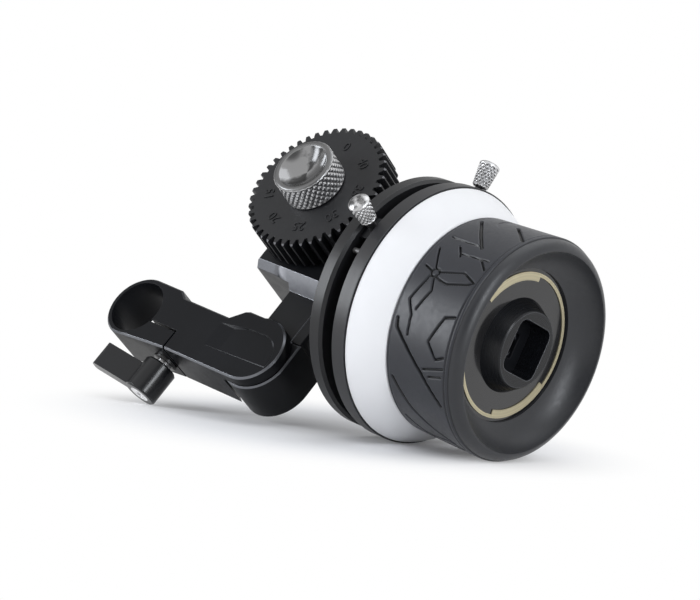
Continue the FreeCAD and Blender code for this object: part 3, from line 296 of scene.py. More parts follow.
class Finish(Nodes):
    """Material with a principled shader, and masks and textures placed on the unit."""

    def __init__(self, name, **sockets):
        self.material = bpy.data.materials.new(name + "_finish")
        self.material.use_nodes = True
        super().__init__(self.material.node_tree)
        self.shader = self.node("ShaderNodeBsdfPrincipled")
        output = self.node("ShaderNodeOutputMaterial")
        self.link(self.shader.outputs["BSDF"], output.inputs["Surface"])
        for socket, value in sockets.items():
            self.shader.inputs[socket.replace("_", " ")].default_value = value
        coordinates = self.node("ShaderNodeTexCoord")
        self.place = coordinates.outputs["Object"]
        self.facing_way = coordinates.outputs["Normal"]

    def noise(self, scale, detail=3.0, vector=None):
        node = self.node("ShaderNodeTexNoise")
        node.inputs["Scale"].default_value = scale
        node.inputs["Detail"].default_value = detail
        self.link(vector or self.place, node.inputs["Vector"])
        return node.outputs["Fac"]

    def ramp(self, source, stops):
        """Colour that goes between two stops, each a position and its colour."""
        node = self.node("ShaderNodeValToRGB")
        for element, (position, colour) in zip(node.color_ramp.elements, stops):
            element.position = position
            element.color = (*colour, 1)
        self.link(source, node.inputs["Fac"])
        return node.outputs["Color"]

    def cylinder(self, axis):
        """Radius from an axis and station along it, in metres."""
        offset = self.vector_math("SUBTRACT", self.place, axis.origin)
        station = self.vector_math("DOT_PRODUCT", offset, axis.along, output="Value")
        across = self.vector_math("CROSS_PRODUCT", offset, axis.along)
        return self.vector_math("LENGTH", across, output="Value"), station

    def about(self, axis):
        """Vector (radius, station, 0) of the surface about an axis, in metres."""
        radius, station = self.cylinder(axis)
        joined = self.node("ShaderNodeCombineXYZ")
        self.link(radius, joined.inputs["X"])
        self.link(station, joined.inputs["Y"])
        return joined.outputs["Vector"]

    def rounded(self, radius):
        """Normal with the sharp edges rounded off, by a radius in millimetres."""
        bevel = self.node("ShaderNodeBevel", samples=6)
        bevel.inputs["Radius"].default_value = radius * MM
        return bevel.outputs["Normal"]

    def worn_edge_and_highlight(self, rounded):
        """Mask that is 1 on edges and 0 on open faces, from the rounded normal; used to lighten edges as wear and
        as a painted highlight.
        """
        geometry = self.node("ShaderNodeNewGeometry")
        agree = self.vector_math("DOT_PRODUCT", rounded, geometry.outputs["Normal"], output="Value")
        return self.spread(agree, 1.0, 0.0, 0.80, 0.995)

    def facing(self, direction, start, end):
        """Mask of the facets that face one way, between two cosines."""
        agree = self.vector_math("DOT_PRODUCT", self.facing_way, direction, output="Value")
        return self.spread(agree, 0.0, 1.0, start, end)

    def sloped(self, axis, cosine=0.7071, width=0.09):
        """Mask of the facets that lean to an axis by the angle of a cosine."""
        agree = self.vector_math("DOT_PRODUCT", self.facing_way, axis, output="Value")
        off = self.math("ABSOLUTE", self.math("SUBTRACT", self.math("ABSOLUTE", agree), cosine))
        return self.spread(off, 1.0, 0.0, 0.5 * width, width)

    def blend(self, mask, low, high):
        """Colour that goes from one colour or output to another over a mask."""
        node = self.node("ShaderNodeMix", data_type="RGBA")
        self.link(mask, node.inputs["Factor"])
        for socket, value in (("A", low), ("B", high)):
            if isinstance(value, tuple):
                node.inputs[socket].default_value = (*value, 1)
            else:
                self.link(value, node.inputs[socket])
        return node.outputs["Result"]

    def colour(self, mask, low, high):
        """Base colour that goes from low to high over a mask."""
        self.link(self.ramp(mask, ((0.3, low), (0.7, high))), self.shader.inputs["Base Color"])

    def roughness(self, source, low, high):
        self.link(self.spread(source, low, high), self.shader.inputs["Roughness"])

    def bump(self, height, depth, normal=None):
        """Relief of a depth in millimetres, over the rounded normal where one is given."""
        node = self.node("ShaderNodeBump")
        node.inputs["Distance"].default_value = depth * MM
        self.link(height, node.inputs["Height"])
        if normal is not None:
            self.link(normal, node.inputs["Normal"])
        self.link(node.outputs["Normal"], self.shader.inputs["Normal"])


# Finishes

# Colours that a user would leave as they are
BLACK_OXIDE = (0.045, 0.045, 0.05)
BEARING_STEEL = (0.60, 0.60, 0.60)
SHAFT_STEEL = (0.50, 0.50, 0.50)
BRASS = (0.72, 0.55, 0.27)
BRONZE = (0.50, 0.34, 0.18)
GLOSS_BLACK = (0.006, 0.006, 0.007)
WASHER_GREY = (0.10, 0.10, 0.10)
# painted highlight on the bevels of the gear's teeth
TEETH_HIGHLIGHT = (0.15, 0.15, 0.16)

# Sizes in millimetres, and scales of the textures
EDGE_ROUND = 0.16  # rounding of a machined edge
MOULD_ROUND = 0.15  # and of a moulded one
LATHE_LINES = 5200.0  # fineness of lathe rings on anodised pieces
CUT_LINES = 6000.0  # and of the grain on bare metal
LINE_DEPTH = 0.006  # of those rings and that grain
BOWL_EDGE = (6.4, 6.6)  # radius at which the polished bowl of the gear's nut ends
TAPER = 0.4  # the grip's radius is this much smaller at its back edge
TREAD_SHADE = (0.12, 0.45)  # depth below the grip's surface over which painted shade darkens the rubber

# Where the bevels of the arm's plate are cut bright and carry a painted highlight, in millimetres from its pivot
LOW_FADE = (-0.8, 1.2)  # height at which the bright lower edge ends
END_FADE = (3.5, 6.5)  # the round end starts here, towards the knob
RING_FADE = (-50.0, -38.0)  # the clamp ring, further out, is duller
RING_SHARE = 0.45  # by this factor
BORE_FADE = (8.0, 8.4)  # radius about the rod inside which nothing is bright
FAINT = 0.12  # brightness of the other bevels

HEAD_SLOPE = -0.535 * ALONG_GEAR - 0.845 * UP  # way that the facet under the gearbox's head faces
SILL = (UP - ALONG_GEAR).normalized()  # and the lower wall of the arm's panel


def shade(colour, factor):
    return tuple(min(1.0, part * factor) for part in colour)


def anodised(name, colour, roughness, facets=(), refraction=1.27):
    """Black anodised aluminium: fine blasted grain, edges polished by handling and lightened by a painted
    highlight, bright cut facets.

    The facets are pairs of a function that gives a mask from the finish, and how bright it is cut; on the arm that
    brightness is partly a painted highlight."""
    finish = Finish(name, IOR=refraction)
    cut = tuple(settings().colours.cut)
    rounded = finish.rounded(EDGE_ROUND)
    # Edges lightened by wear and by a painted highlight.
    wear_and_highlight = finish.math("MULTIPLY", finish.worn_edge_and_highlight(rounded), finish.spread(finish.noise(260), 0.10, 0.28))
    base = finish.ramp(finish.noise(70, 4), ((0.3, shade(colour, 0.85)), (0.7, shade(colour, 1.2))))
    base = finish.blend(wear_and_highlight, base, shade(cut, 0.5))
    metal = None
    for facet, brightness in facets:
        mask = facet(finish)
        dull, bright = shade(cut, 0.85 * brightness), shade(cut, 1.1 * brightness)
        base = finish.blend(mask, base, finish.blend(finish.noise(1500, 3), dull, bright))
        metal = mask if metal is None else finish.math("MAXIMUM", metal, mask)
    if metal is not None:
        finish.link(finish.math("MULTIPLY", metal, 0.85), finish.shader.inputs["Metallic"])
    finish.link(base, finish.shader.inputs["Base Color"])
    finish.roughness(finish.noise(380, 4), roughness * 0.9, roughness * 1.12)
    finish.bump(finish.noise(4200, 2), 0.010, rounded)
    return finish.material


def turned_black(name, colour, roughness, refraction=1.45, edge_wear_and_highlight_share=0.5, edge_round=EDGE_ROUND):
    """Anodised turned part: faint lathe rings about the knob's axis, and polished edges lightened by wear and by a
    painted highlight.
    """
    finish = Finish(name, IOR=refraction)
    rounded = finish.rounded(edge_round)
    # Edges lightened by wear and by a painted highlight.
    edge = finish.math("MULTIPLY", finish.worn_edge_and_highlight(rounded), edge_wear_and_highlight_share)
    rings = finish.noise(LATHE_LINES, 2, finish.about(KNOB))
    base = finish.blend(rings, shade(colour, 0.86), shade(colour, 1.16))
    base = finish.blend(edge, base, tuple(settings().colours.cut))
    finish.link(base, finish.shader.inputs["Base Color"])
    finish.roughness(rings, roughness * 0.85, roughness * 1.15)
    finish.bump(rings, LINE_DEPTH, rounded)
    return finish.material


def bare_metal(name, colour, roughness):
    """Bare cut metal with a fine grain."""
    finish = Finish(name, Metallic=1.0)
    grain = finish.noise(CUT_LINES, 3)
    finish.colour(finish.noise(500, 3), shade(colour, 0.82), shade(colour, 1.05))
    finish.roughness(grain, roughness * 0.8, roughness * 1.3)
    finish.bump(grain, LINE_DEPTH)
    return finish.material


def knurled_steel(name, colour, roughness, axis, root_r, tip_r):
    """Cut steel, with painted shade in the bottom of the knurl's grooves, and darker on the scuffed end."""
    finish = Finish(name, Metallic=1.0)
    high = finish.band(finish.cylinder(axis)[0], (root_r, tip_r))
    side = finish.sloped(axis.along, 0.0, 0.9)
    # Painted shade in the bottom of the knurl's grooves.
    depth = finish.math("MULTIPLY", side, finish.math("SUBTRACT", 1.0, high))
    scuff = finish.ramp(finish.noise(650, 4), ((0.42, shade(colour, 0.25)), (0.58, shade(colour, 1.2))))
    mottle = finish.ramp(finish.noise(500, 3), ((0.3, shade(colour, 1.0)), (0.7, shade(colour, 1.6))))
    base = finish.blend(side, scuff, mottle)
    finish.link(finish.blend(depth, base, shade(colour, 0.8)), finish.shader.inputs["Base Color"])
    finish.roughness(finish.noise(1600, 3), roughness * 0.75, roughness * 1.35)
    finish.bump(finish.noise(1100, 3), 0.12)
    return finish.material


def bowl_steel(name, colour, roughness):
    """Steel of the gear's nut: its turned bowl carries a painted reflection in a bow-tie about the axis, its knurl
    is matt and painted lighter, and its front rim is painted darker as painted shade.
    """
    finish = Finish(name, Metallic=1.0)
    rings = finish.noise(4200, 3, finish.about(GEAR))
    # Painted reflection: a bow-tie of light and dark about the axis.
    offset = finish.vector_math("SUBTRACT", finish.place, GEAR.origin)
    across = finish.vector_math("NORMALIZE", finish.vector_math("CROSS_PRODUCT", offset, GEAR.along))
    sector = finish.math("ABSOLUTE", finish.vector_math("DOT_PRODUCT", across, UP, output="Value"))
    ragged = finish.math("ADD", sector, finish.spread(finish.noise(330, 3), -0.35, 0.35))
    painted_reflection = finish.ramp(ragged, ((0.25, shade(colour, 0.12)), (0.65, shade(colour, 0.52))))
    front = finish.facing(GEAR.along, 0.3, 0.6)
    inside = finish.band(finish.cylinder(GEAR)[0], BOWL_EDGE, 1.0, 0.0)
    polished = finish.math("MULTIPLY", front, inside)
    # Painted light on the knurled flank and painted shade on the front rim.
    flank = finish.blend(rings, shade(colour, 1.2), shade(colour, 1.6))
    rim = finish.blend(rings, shade(colour, 0.26), shade(colour, 0.40))
    base = finish.blend(polished, finish.blend(front, flank, rim), painted_reflection)
    finish.link(base, finish.shader.inputs["Base Color"])
    matt = finish.spread(polished, 2.0 * roughness, roughness, 0.0, 1.0)
    finish.link(matt, finish.shader.inputs["Roughness"])
    finish.bump(rings, LINE_DEPTH)
    return finish.material


def moulded(name, colour, roughness, grain=2600.0, depth=0.015, refraction=1.42, mottle=0.1, bevel_highlight=None):
    """Moulded plastic with a fine sparked grain, and a painted highlight on the bevels where a colour is given for
    it.
    """
    finish = Finish(name, IOR=refraction)
    base = finish.blend(finish.noise(240, 4), shade(colour, 1 - mottle), shade(colour, 1 + mottle))
    if bevel_highlight:
        # Painted highlight on the bevels.
        base = finish.blend(front_chamfers(finish), base, bevel_highlight)
    finish.link(base, finish.shader.inputs["Base Color"])
    finish.roughness(finish.noise(700, 3), roughness * 0.9, roughness * 1.1)
    finish.bump(finish.noise(grain, 3), depth, finish.rounded(MOULD_ROUND))
    return finish.material


def grip_rubber(name, colour, roughness, refraction, cone=None):
    """Moulded rubber: matt, slightly dusty, with painted shade in the floors of its tread.

    The cone is the surface that the tread is cut from, as its radii and its stations."""
    finish = Finish(name, IOR=refraction, Sheen_Weight=0.05, Sheen_Roughness=0.5)
    base = finish.blend(finish.noise(160, 5), shade(colour, 0.84), shade(colour, 1.2))
    if cone:
        (back_r, front_r), stations = cone
        radius, station = finish.cylinder(KNOB)
        outside = finish.band(station, stations, back_r * MM, front_r * MM)
        # Painted shade in the floors of the tread.
        floor = finish.band(finish.math("SUBTRACT", outside, radius), TREAD_SHADE)
        base = finish.blend(floor, base, shade(colour, 0.12))
    finish.link(base, finish.shader.inputs["Base Color"])
    finish.roughness(finish.noise(900, 4), roughness * 0.88, roughness * 1.12)
    finish.bump(finish.noise(3000, 3), 0.012)
    return finish.material


def gloss_label(colour):
    """Gloss black film with a very fine orange peel."""
    finish = Finish("gloss_black", IOR=1.45, Coat_Weight=0.4, Coat_Roughness=0.04)
    finish.colour(finish.noise(120, 2), shade(colour, 0.8), shade(colour, 1.3))
    finish.roughness(finish.noise(400, 2), 0.10, 0.15)
    finish.bump(finish.noise(700, 2), 0.002)
    return finish.material


def trim_foil(colour):
    """Printed foil of the trim ring, brushed about the knob's axis."""
    finish = Finish("cream_trim", Metallic=0.35)
    rings = finish.noise(3600, 3, finish.about(KNOB))
    finish.colour(rings, shade(colour, 0.78), shade(colour, 1.15))
    finish.roughness(rings, 0.28, 0.42)
    finish.bump(rings, 0.004)
    return finish.material


def head_slope(finish):
    """The cut facet along the lower front edge of the gearbox's head."""
    return finish.facing(HEAD_SLOPE, 0.975, 0.99)


def front_chamfers(finish):
    """Bevels between the front and the sides of a plate across the gear's axis."""
    front = finish.facing(-ALONG_GEAR, 0.0, 0.2)
    return finish.math("MULTIPLY", front, finish.sloped(ALONG_GEAR))


def from_pivot(finish, direction):
    """How far a point lies from the arm's pivot along a direction, in metres."""
    offset = finish.vector_math("SUBTRACT", finish.place, ARM.origin)
    return finish.vector_math("DOT_PRODUCT", offset, direction, output="Value")


def below_pivot(finish):
    """Mask of what lies below the arm's pivot."""
    return finish.band(from_pivot(finish, UP), LOW_FADE, 1.0, 0.0)


def arm_bevel_highlight(finish):
    """Cut bevels of the arm's plate, with a painted highlight along its lower edge and its round end, faint
    elsewhere.
    """
    station = from_pivot(finish, ALONG_KNOB)
    bright = finish.math("MAXIMUM", below_pivot(finish), finish.band(station, END_FADE))
    shown = finish.math("MULTIPLY", bright, finish.band(finish.cylinder(ROD)[0], BORE_FADE))
    far = finish.band(station, RING_FADE, RING_SHARE, 1.0)
    weight = finish.math("MULTIPLY", finish.spread(shown, FAINT, 1.0, 0.0, 1.0), far)
    return finish.math("MULTIPLY", front_chamfers(finish), weight)


def panel_sill_highlight(finish):
    """Lower wall of the panel in the arm's plate, cut bright and lightened further by a painted highlight."""
    return finish.math("MULTIPLY", below_pivot(finish), finish.facing(SILL, 0.919, 0.976))


def build_finishes():
    """Materials of every slot, and of the nodes that differ from their slot."""
    colours = settings().colours
    black, grey, steel = tuple(colours.black), tuple(colours.grey), tuple(colours.steel)
    gear, white, rubber = tuple(colours.gear), tuple(colours.white), tuple(colours.rubber)
    low, high, _, outer = KNOB.reach("rubber_grip")
    cone = ((outer - TAPER, outer), (low, high))
    # The arm's bevels are cut metal; how bright they are from place to place is a painted highlight.
    arm_facets = ((arm_bevel_highlight, 1.0), (panel_sill_highlight, 2.4))
    head_facets = ((head_slope, 2.7), (front_chamfers, 0.9))
    slots = {
        "black_anodised": anodised("black_anodised", black, 0.34),
        "dark_grey_anodised": turned_black("dark_grey_anodised", grey, 0.36, 1.44),
        "dark_steel": turned_black("dark_steel", shade(black, 1.3), 0.26, 1.4),
        "black_screw_steel": bare_metal("black_screw", BLACK_OXIDE, 0.35),
        "stainless": bare_metal("stainless", steel, 0.24),
        "bearing_steel": bare_metal("bearing_steel", BEARING_STEEL, 0.16),
        "shaft_steel": bare_metal("shaft_steel", SHAFT_STEEL, 0.28),
        "brass": bare_metal("brass", BRASS, 0.27),
        "bronze_bush": bare_metal("bronze", BRONZE, 0.42),
        "gear_black": moulded("gear_black", gear, 0.46),
        "white_ring": moulded("white_ring", white, 0.5, 1800.0, 0.004, 1.4, mottle=0.012),
        "grip_rubber": grip_rubber("grip_rubber", rubber, 0.40, 1.44, cone),
        "gloss_black": gloss_label(GLOSS_BLACK),
        "cream_trim": trim_foil(tuple(colours.cream)),
        "washer_plastic": moulded("washer_plastic", WASHER_GREY, 0.5),
    }
    nodes = {
        "clamp_arm": anodised("arm", black, 0.32, arm_facets, 1.22),
        "clamp_lever": anodised("lever", black, 0.21, refraction=1.44),
        "lever_cap_screw": bare_metal("cap_screw", shade(steel, 1.8), 0.6),
        "clamp_washer": bare_metal("clamp_washer", shade(steel, 0.3), 0.3),
        "gearbox_housing": anodised("gearbox", black, 0.34, head_facets),
        # The gear's tooth bevels carry a painted highlight.
        "drive_gear": moulded("lens_gear", gear, 0.46, bevel_highlight=TEETH_HIGHLIGHT),
        "front_rim": grip_rubber("rim", shade(black, 2.2), 0.40, 1.50),
        # The socket's edges are lightened in full and widened, as a painted highlight round its face.
        "crank_socket": turned_black("socket", black, 0.28, 1.36, edge_wear_and_highlight_share=1.0, edge_round=0.3),
        "bearing_tube": turned_black("turned_black", black, 0.34),
        "stop_flange": turned_black("flange", shade(grey, 0.6), 0.34, 1.38),
        "stop_pin": bare_metal("pin", shade(steel, 0.3), 0.5),
    }
    return slots, nodes


FINISHES = {}


def finish_of(slot):
    return FINISHES[slot]


# Tread of the grip, in millimetres

BACK_ROWS = (0.0, 0.08, 0.2, 0.32)  # rows of the mesh over the back edge, from that edge
FRONT_ROWS = (0.5, 0.32, 0.16, 0.04, 0.0)  # and over the front edge, from that edge
PLAIN_ROWS = (0.45, 0.6)  # the even rows keep this far from the back and the front edge
BACK_ROUND = ((0.0, 0.35), (0.2, 0.08), (0.45, 0.0))  # distance from the edge, and drop there
FRONT_ROUND = ((0.5, 0.0), (0.16, 0.16), (0.0, 0.5))
BEAD = (1.05, 0.16, 0.32)  # groove behind the front bead: distance from the edge, width, depth
BACK_GROOVE = (0.75, 0.14, 0.15)  # and the one at the back edge
GROOVE_SIDE = 0.2  # width of the slope on each side of a groove
TREAD_START = math.radians(95.0)  # angle round the grip at which s is 0
CELL = 1.15  # radius of the small six-sided cell in the middle of a figure
CELL_X = 6.2  # its distance from the back edge
FIGURES = (0.0, 45.0)  # places of the three-armed figures in one repeat, round the grip


def tread_lines(pitch, width):
    """Grooves of one repeat as (x0, s0, x1, s1, width): x from the grip's back edge, s round it."""
    wide = 1.7 * width
    lines = []

    def path(corners, line_width=width, along=0.0):
        for (x0, s0), (x1, s1) in zip(corners, corners[1:]):
            lines.append((x0, s0 + along, x1, s1 + along, line_width))

    # Three-armed figures: a small six-sided cell with a pair of grooves along each arm
    sides = [k * math.pi / 3 for k in range(7)]
    cell = [(CELL_X + CELL * math.cos(side), CELL * math.sin(side)) for side in sides]
    for along in FIGURES:
        path(cell, along=along)
        path(((7.3, -0.5), (13.4, -2.2), (17.4, -0.6)), along=along)
        path(((7.0, 0.9), (8.7, 1.4), (10.8, 1.7), (16.1, 0.2), (17.4, -0.6)), along=along)
        path(((5.4, 0.9), (5.0, 2.6), (3.2, 7.6), (5.3, 10.8), (5.7, 15.4)), along=along)
        path(((6.6, 1.0), (8.0, 4.2), (6.0, 9.3)), along=along)
        path(((5.5, -1.2), (2.4, -6.5)), along=along)
        path(((4.9, -0.2), (2.4, -1.0)), along=along)
    # Long slanting grooves
    path(((2.6, -20.6), (7.6, -14.8), (12.0, -10.1)), wide)
    path(((11.1, -23.4), (17.7, -17.3)), wide)
    path(((1.8, 12.6), (2.2, 14.5), (11.1, 22.8), (16.8, 29.3)), wide)
    path(((2.0, 26.7), (6.5, 34.3), (10.9, 38.9), (15.4, 42.6)), wide)
    # Open six-sided lug near the front edge
    path(((17.5, 8.0), (14.8, 8.8), (12.1, 15.1), (15.1, 18.4), (17.3, 17.4)))
    # Short bars beside the slanting grooves
    path(((2.7, -10.7), (10.7, -10.5)), 1.2 * width)
    path(((6.8, -8.6), (8.6, -6.7), (9.1, -5.9)))
    path(((8.6, -6.7), (16.6, -7.1)))
    path(((14.9, -6.7), (17.5, -4.5)))
    path(((13.4, 23.0), (17.1, 22.0)))
    path(((11.6, 21.7), (17.6, 19.9)))
    # Neighbouring repeats, so that grooves run on over the seam
    return [(x0, s0 + shift, x1, s1 + shift, w) for x0, s0, x1, s1, w in lines
            for shift in (-pitch, 0.0, pitch)]


def groove_depth(x, s, lines):
    """Share of the full groove depth at points of the unrolled tread, in millimetres."""
    depth = np.zeros_like(x)
    for x0, s0, x1, s1, width in lines:
        length = (x1 - x0) ** 2 + (s1 - s0) ** 2
        along = np.clip(((x - x0) * (x1 - x0) + (s - s0) * (s1 - s0)) / length, 0, 1)
        away = np.hypot(x - x0 - along * (x1 - x0), s - s0 - along * (s1 - s0))
        share = np.clip((0.5 * width + 0.5 * GROOVE_SIDE - away) / GROOVE_SIDE, 0, 1)
        depth = np.maximum(depth, share * share * (3 - 2 * share))
    return depth


def grip_stations(length, step):
    """Places of the mesh's rows along the grip, closer together over its rounded edges."""
    start, end = PLAIN_ROWS
    return np.concatenate([BACK_ROWS, np.arange(start, length - end, step), length - np.array(FRONT_ROWS)])


def edge_drops(stations, length):
    """How far the rounded edges lie inside the grip's cone."""
    rounding = list(BACK_ROUND) + [(length - place, drop) for place, drop in FRONT_ROUND]
    return np.interp(stations, *zip(*rounding))


def ring_groove(distance, groove):
    """Depth of a groove that runs right round the grip, at distances from an edge."""
    place, width, depth = groove
    return depth * np.exp(-((distance - place) / width) ** 2)


def make_tread():
    """Rubber grip with its tread, in place of the plain grip."""
    sizes = settings().tread
    low, high, inner, outer = KNOB.reach("rubber_grip")
    length = high - low
    step = sizes.step / MM
    columns = int(TURN * outer / step)
    columns += -columns % sizes.repeats
    angles = np.linspace(0, TURN, columns, endpoint=False)
    stations = grip_stations(length, step)
    radii = outer - TAPER + TAPER * stations / length - edge_drops(stations, length)

    pitch = TURN * outer / sizes.repeats
    s = ((angles - TREAD_START) % (TURN / sizes.repeats)) * outer
    s = np.where(s > pitch / 2, s - pitch, s)
    grid_x, grid_s = np.meshgrid(stations, s, indexing="ij")
    cut = groove_depth(grid_x, grid_s, tread_lines(pitch, sizes.width / MM)) * sizes.depth / MM
    cut = np.maximum(cut, ring_groove(length - stations, BEAD)[:, None])
    cut = np.maximum(cut, ring_groove(stations, BACK_GROOVE)[:, None])

    shape = (len(stations), columns)
    outside = KNOB.points(np.broadcast_to(stations[:, None] + low, shape), radii[:, None] - cut,
                          np.broadcast_to(angles[None, :], shape))
    inside = turned_points(KNOB, [high, low], [inner, inner], columns)
    points = np.concatenate([outside.reshape(-1, 3), inside.reshape(-1, 3)])
    faces = wrapped_grid(len(stations) + 3, columns) % len(points)
    piece = mesh_piece("tread_grip", points, faces, finish_of("grip_rubber"), "knob")
    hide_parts("rubber_grip")


# Knurled steel, in millimetres

KNURL_LEAD = 1.25  # length of a diamond over its width
KNURL_FLAT = 1.8  # above 1, the diamonds' points are cut flat
KNURL_RUN_OUT = 14  # a knurl reaches its full depth over one part in so many of its length
NUT_BORE_R = 2.05
NUT_EDGE = 0.35
NUT_BREAK = (0.1, 0.12)  # height and width of the broken edge round the nut's face
BOWL_R = 6.55
BOWL_DEPTH = 2.6
BOWL_BREAK = (0.08, 0.2)  # height and width of the broken edge round the bowl
BOWL_RINGS = np.linspace(0.98, 0.06, 26)  # radii of the bowl's rings, as shares of its own
NUT_COLUMNS = 8  # of the mesh, for each groove of the knurl
POST_R = 1.0
POST_TIP = (0.3, 0.7)  # height and radius of the post's pointed end
HEAD_LENGTH = 6.7
HEAD_BACK = ((0.0, 1.0), (0.4, 0.6))  # back of the head: distance from it, and drop
HEAD_CROWN = ((0.9, 0.0), (0.6, 0.12), (0.32, 0.5), (0.1, 1.05), (0.0, 1.75))  # and its front
HEAD_DIMPLE = (0.06, 0.3)  # height below the end, and radius, of the ring round the middle
HEAD_MIDDLE = 0.08  # height of the middle below the end
SCREW_COLUMNS = 12


def knurled_turning(axis, low, profile, knurl, starts, depth, columns_per_start):
    """Points and faces of a turned piece with a diamond knurl on one stretch of its side.

    The profile lists (station, radius) corners from the axis outwards and back to the axis, and the
    knurl gives the indices of the two corners that it runs between."""
    columns = starts * columns_per_start
    angles = np.linspace(0, TURN, columns, endpoint=False)
    pitch = TURN * profile[knurl[0]][1] / starts
    rows_x, rows_r, rows_k = [], [], []
    for index, (x, r) in enumerate(profile):
        rows_x.append(x)
        rows_r.append(r)
        rows_k.append(0.0)
        if index == knurl[0]:
            end_x, end_r = profile[knurl[1]]
            count = max(8, int(abs(end_x - x) / (pitch / columns_per_start)))
            share = np.arange(1, count) / count
            rows_x += list(x + (end_x - x) * share)
            rows_r += list(r + (end_r - r) * share)
            rows_k += list(np.clip(np.minimum(share, 1 - share) * KNURL_RUN_OUT, 0, 1))
    x, r, k = (np.array(v)[:, None] for v in (rows_x, rows_r, rows_k))
    diamonds = diamond_height(angles[None, :], x, starts, pitch * KNURL_LEAD)
    radii = r - k * depth * (1 - np.minimum(1.0, KNURL_FLAT * diamonds))
    shape = radii.shape
    points = axis.points(np.broadcast_to(x + low, shape), radii, np.broadcast_to(angles[None, :], shape))
    return points.reshape(-1, 3), wrapped_grid(shape[0], columns), columns


def closed_turning(name, built, axis, low, ends, material, body):
    """Piece from a knurled turning whose two ends close on the axis."""
    points, faces, columns = built
    tips = [axis.point(low + station, 0, 0) for station in ends]
    count = len(points)
    around = np.arange(columns)
    turned = (around + 1) % columns
    first = np.stack([np.full(columns, count), turned, around], axis=-1)
    last_row = count - columns
    last = np.stack([np.full(columns, count + 1), last_row + around, last_row + turned], axis=-1)
    return mesh_piece(name, [*points, *tips], [*faces, *first, *last], material, body)


def bowl_profile(length):
    """Corners of the bowl in the nut's front, a part of a ball, from its edge to its middle."""
    ball_r = (BOWL_R ** 2 + BOWL_DEPTH ** 2) / (2 * BOWL_DEPTH)
    middle = length + ball_r - BOWL_DEPTH
    return [(middle - math.sqrt(ball_r ** 2 - (BOWL_R * share) ** 2), BOWL_R * share) for share in BOWL_RINGS]


def make_nut():
    """Knurled nut of the drive gear, with its polished bowl."""
    sizes = settings().knurl
    low, high, _, outer = GEAR.reach("gear_thumb_nut")
    length = high - low
    face_r = outer - NUT_EDGE
    face_break, face_width = NUT_BREAK
    bowl_break, bowl_width = BOWL_BREAK
    knurl = (2, 3)
    profile = [(0.0, NUT_BORE_R), (0.0, face_r), (NUT_EDGE, outer), (length - NUT_EDGE, outer),
               (length - face_break, face_r), (length, face_r - face_width), (length, BOWL_R + bowl_width),
               (length - bowl_break, BOWL_R)]
    profile += bowl_profile(length)
    floor = profile[-1][0]
    material = bowl_steel("nut", tuple(settings().colours.steel), 0.17)
    built = knurled_turning(GEAR, low, profile, knurl, sizes.nut_starts, sizes.nut_depth / MM, NUT_COLUMNS)
    nut = closed_turning("knurled_nut", built, GEAR, low, (0.0, floor), material, "thumb_nut")
    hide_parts("gear_thumb_nut")


def stop_screw_profile(length, outer):
    """Corners of an end stop's thumbscrew, from the tip of its post to the middle of its head."""
    tip, tip_r = POST_TIP
    post = length - HEAD_LENGTH
    dimple, dimple_r = HEAD_DIMPLE
    back = [(post + place, outer - drop) for place, drop in HEAD_BACK]
    crown = [(length - place, outer - drop) for place, drop in HEAD_CROWN]
    return [(0.0, tip_r), (tip, POST_R), (post, POST_R)] + back + crown + [(length - dimple, dimple_r)]


def make_stop_screws():
    """Two thumbscrews of the end stops."""
    sizes = settings().knurl
    steel = tuple(settings().colours.steel)
    depth = sizes.screw_depth / MM
    knurl = (4, 5)
    for letter, axis in STOPS.items():
        low, high, _, outer = axis.reach("stop_screw_" + letter)
        length = high - low
        profile = stop_screw_profile(length, outer)
        material = knurled_steel("stop_screw_" + letter, steel, 0.36, axis, outer - depth, outer)
        built = knurled_turning(axis, low, profile, knurl, sizes.screw_starts, depth, SCREW_COLUMNS)
        ends = (0.0, length - HEAD_MIDDLE)
        screw = closed_turning("knurled_stop_screw_" + letter, built, axis, low, ends, material,
                               "stop_" + letter + "_screw")
        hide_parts("stop_screw_" + letter)


# Plain numbers on the gear, in millimetres

NUMBERS = 9
NUMBER_STEP = 5
NUMBER_SIZE = 3.6
NUMBER_HEIGHT = 0.2
NUMBER_R = 12.8


def make_gear_marks():
    """Raised plain numbers round the gear's face."""
    high = GEAR.reach("drive_gear")[1]
    for k in range(NUMBERS):
        angle = TURN * k / NUMBERS
        curve = bpy.data.curves.new("gear_number_" + str(k), "FONT")
        curve.body = str(NUMBER_STEP * k)
        curve.size = NUMBER_SIZE * MM
        curve.extrude = 0.5 * NUMBER_HEIGHT * MM
        curve.align_x = "CENTER"
        curve.align_y = "CENTER"
        curve.materials.append(finish_of("gear_black"))
        text = new_object("gear_number_" + str(k), curve)
        centre = GEAR.point(high + 0.5 * NUMBER_HEIGHT, NUMBER_R, angle)
        outward = (GEAR.point(high, 1.0, angle) - GEAR.point(high, 0.0, angle)).normalized()
        turn = Matrix((outward.cross(GEAR.along), outward, GEAR.along)).transposed()
        text.matrix_world = Matrix.Translation(centre) @ turn.to_4x4()
        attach(text, "drive")


# Stage, in metres

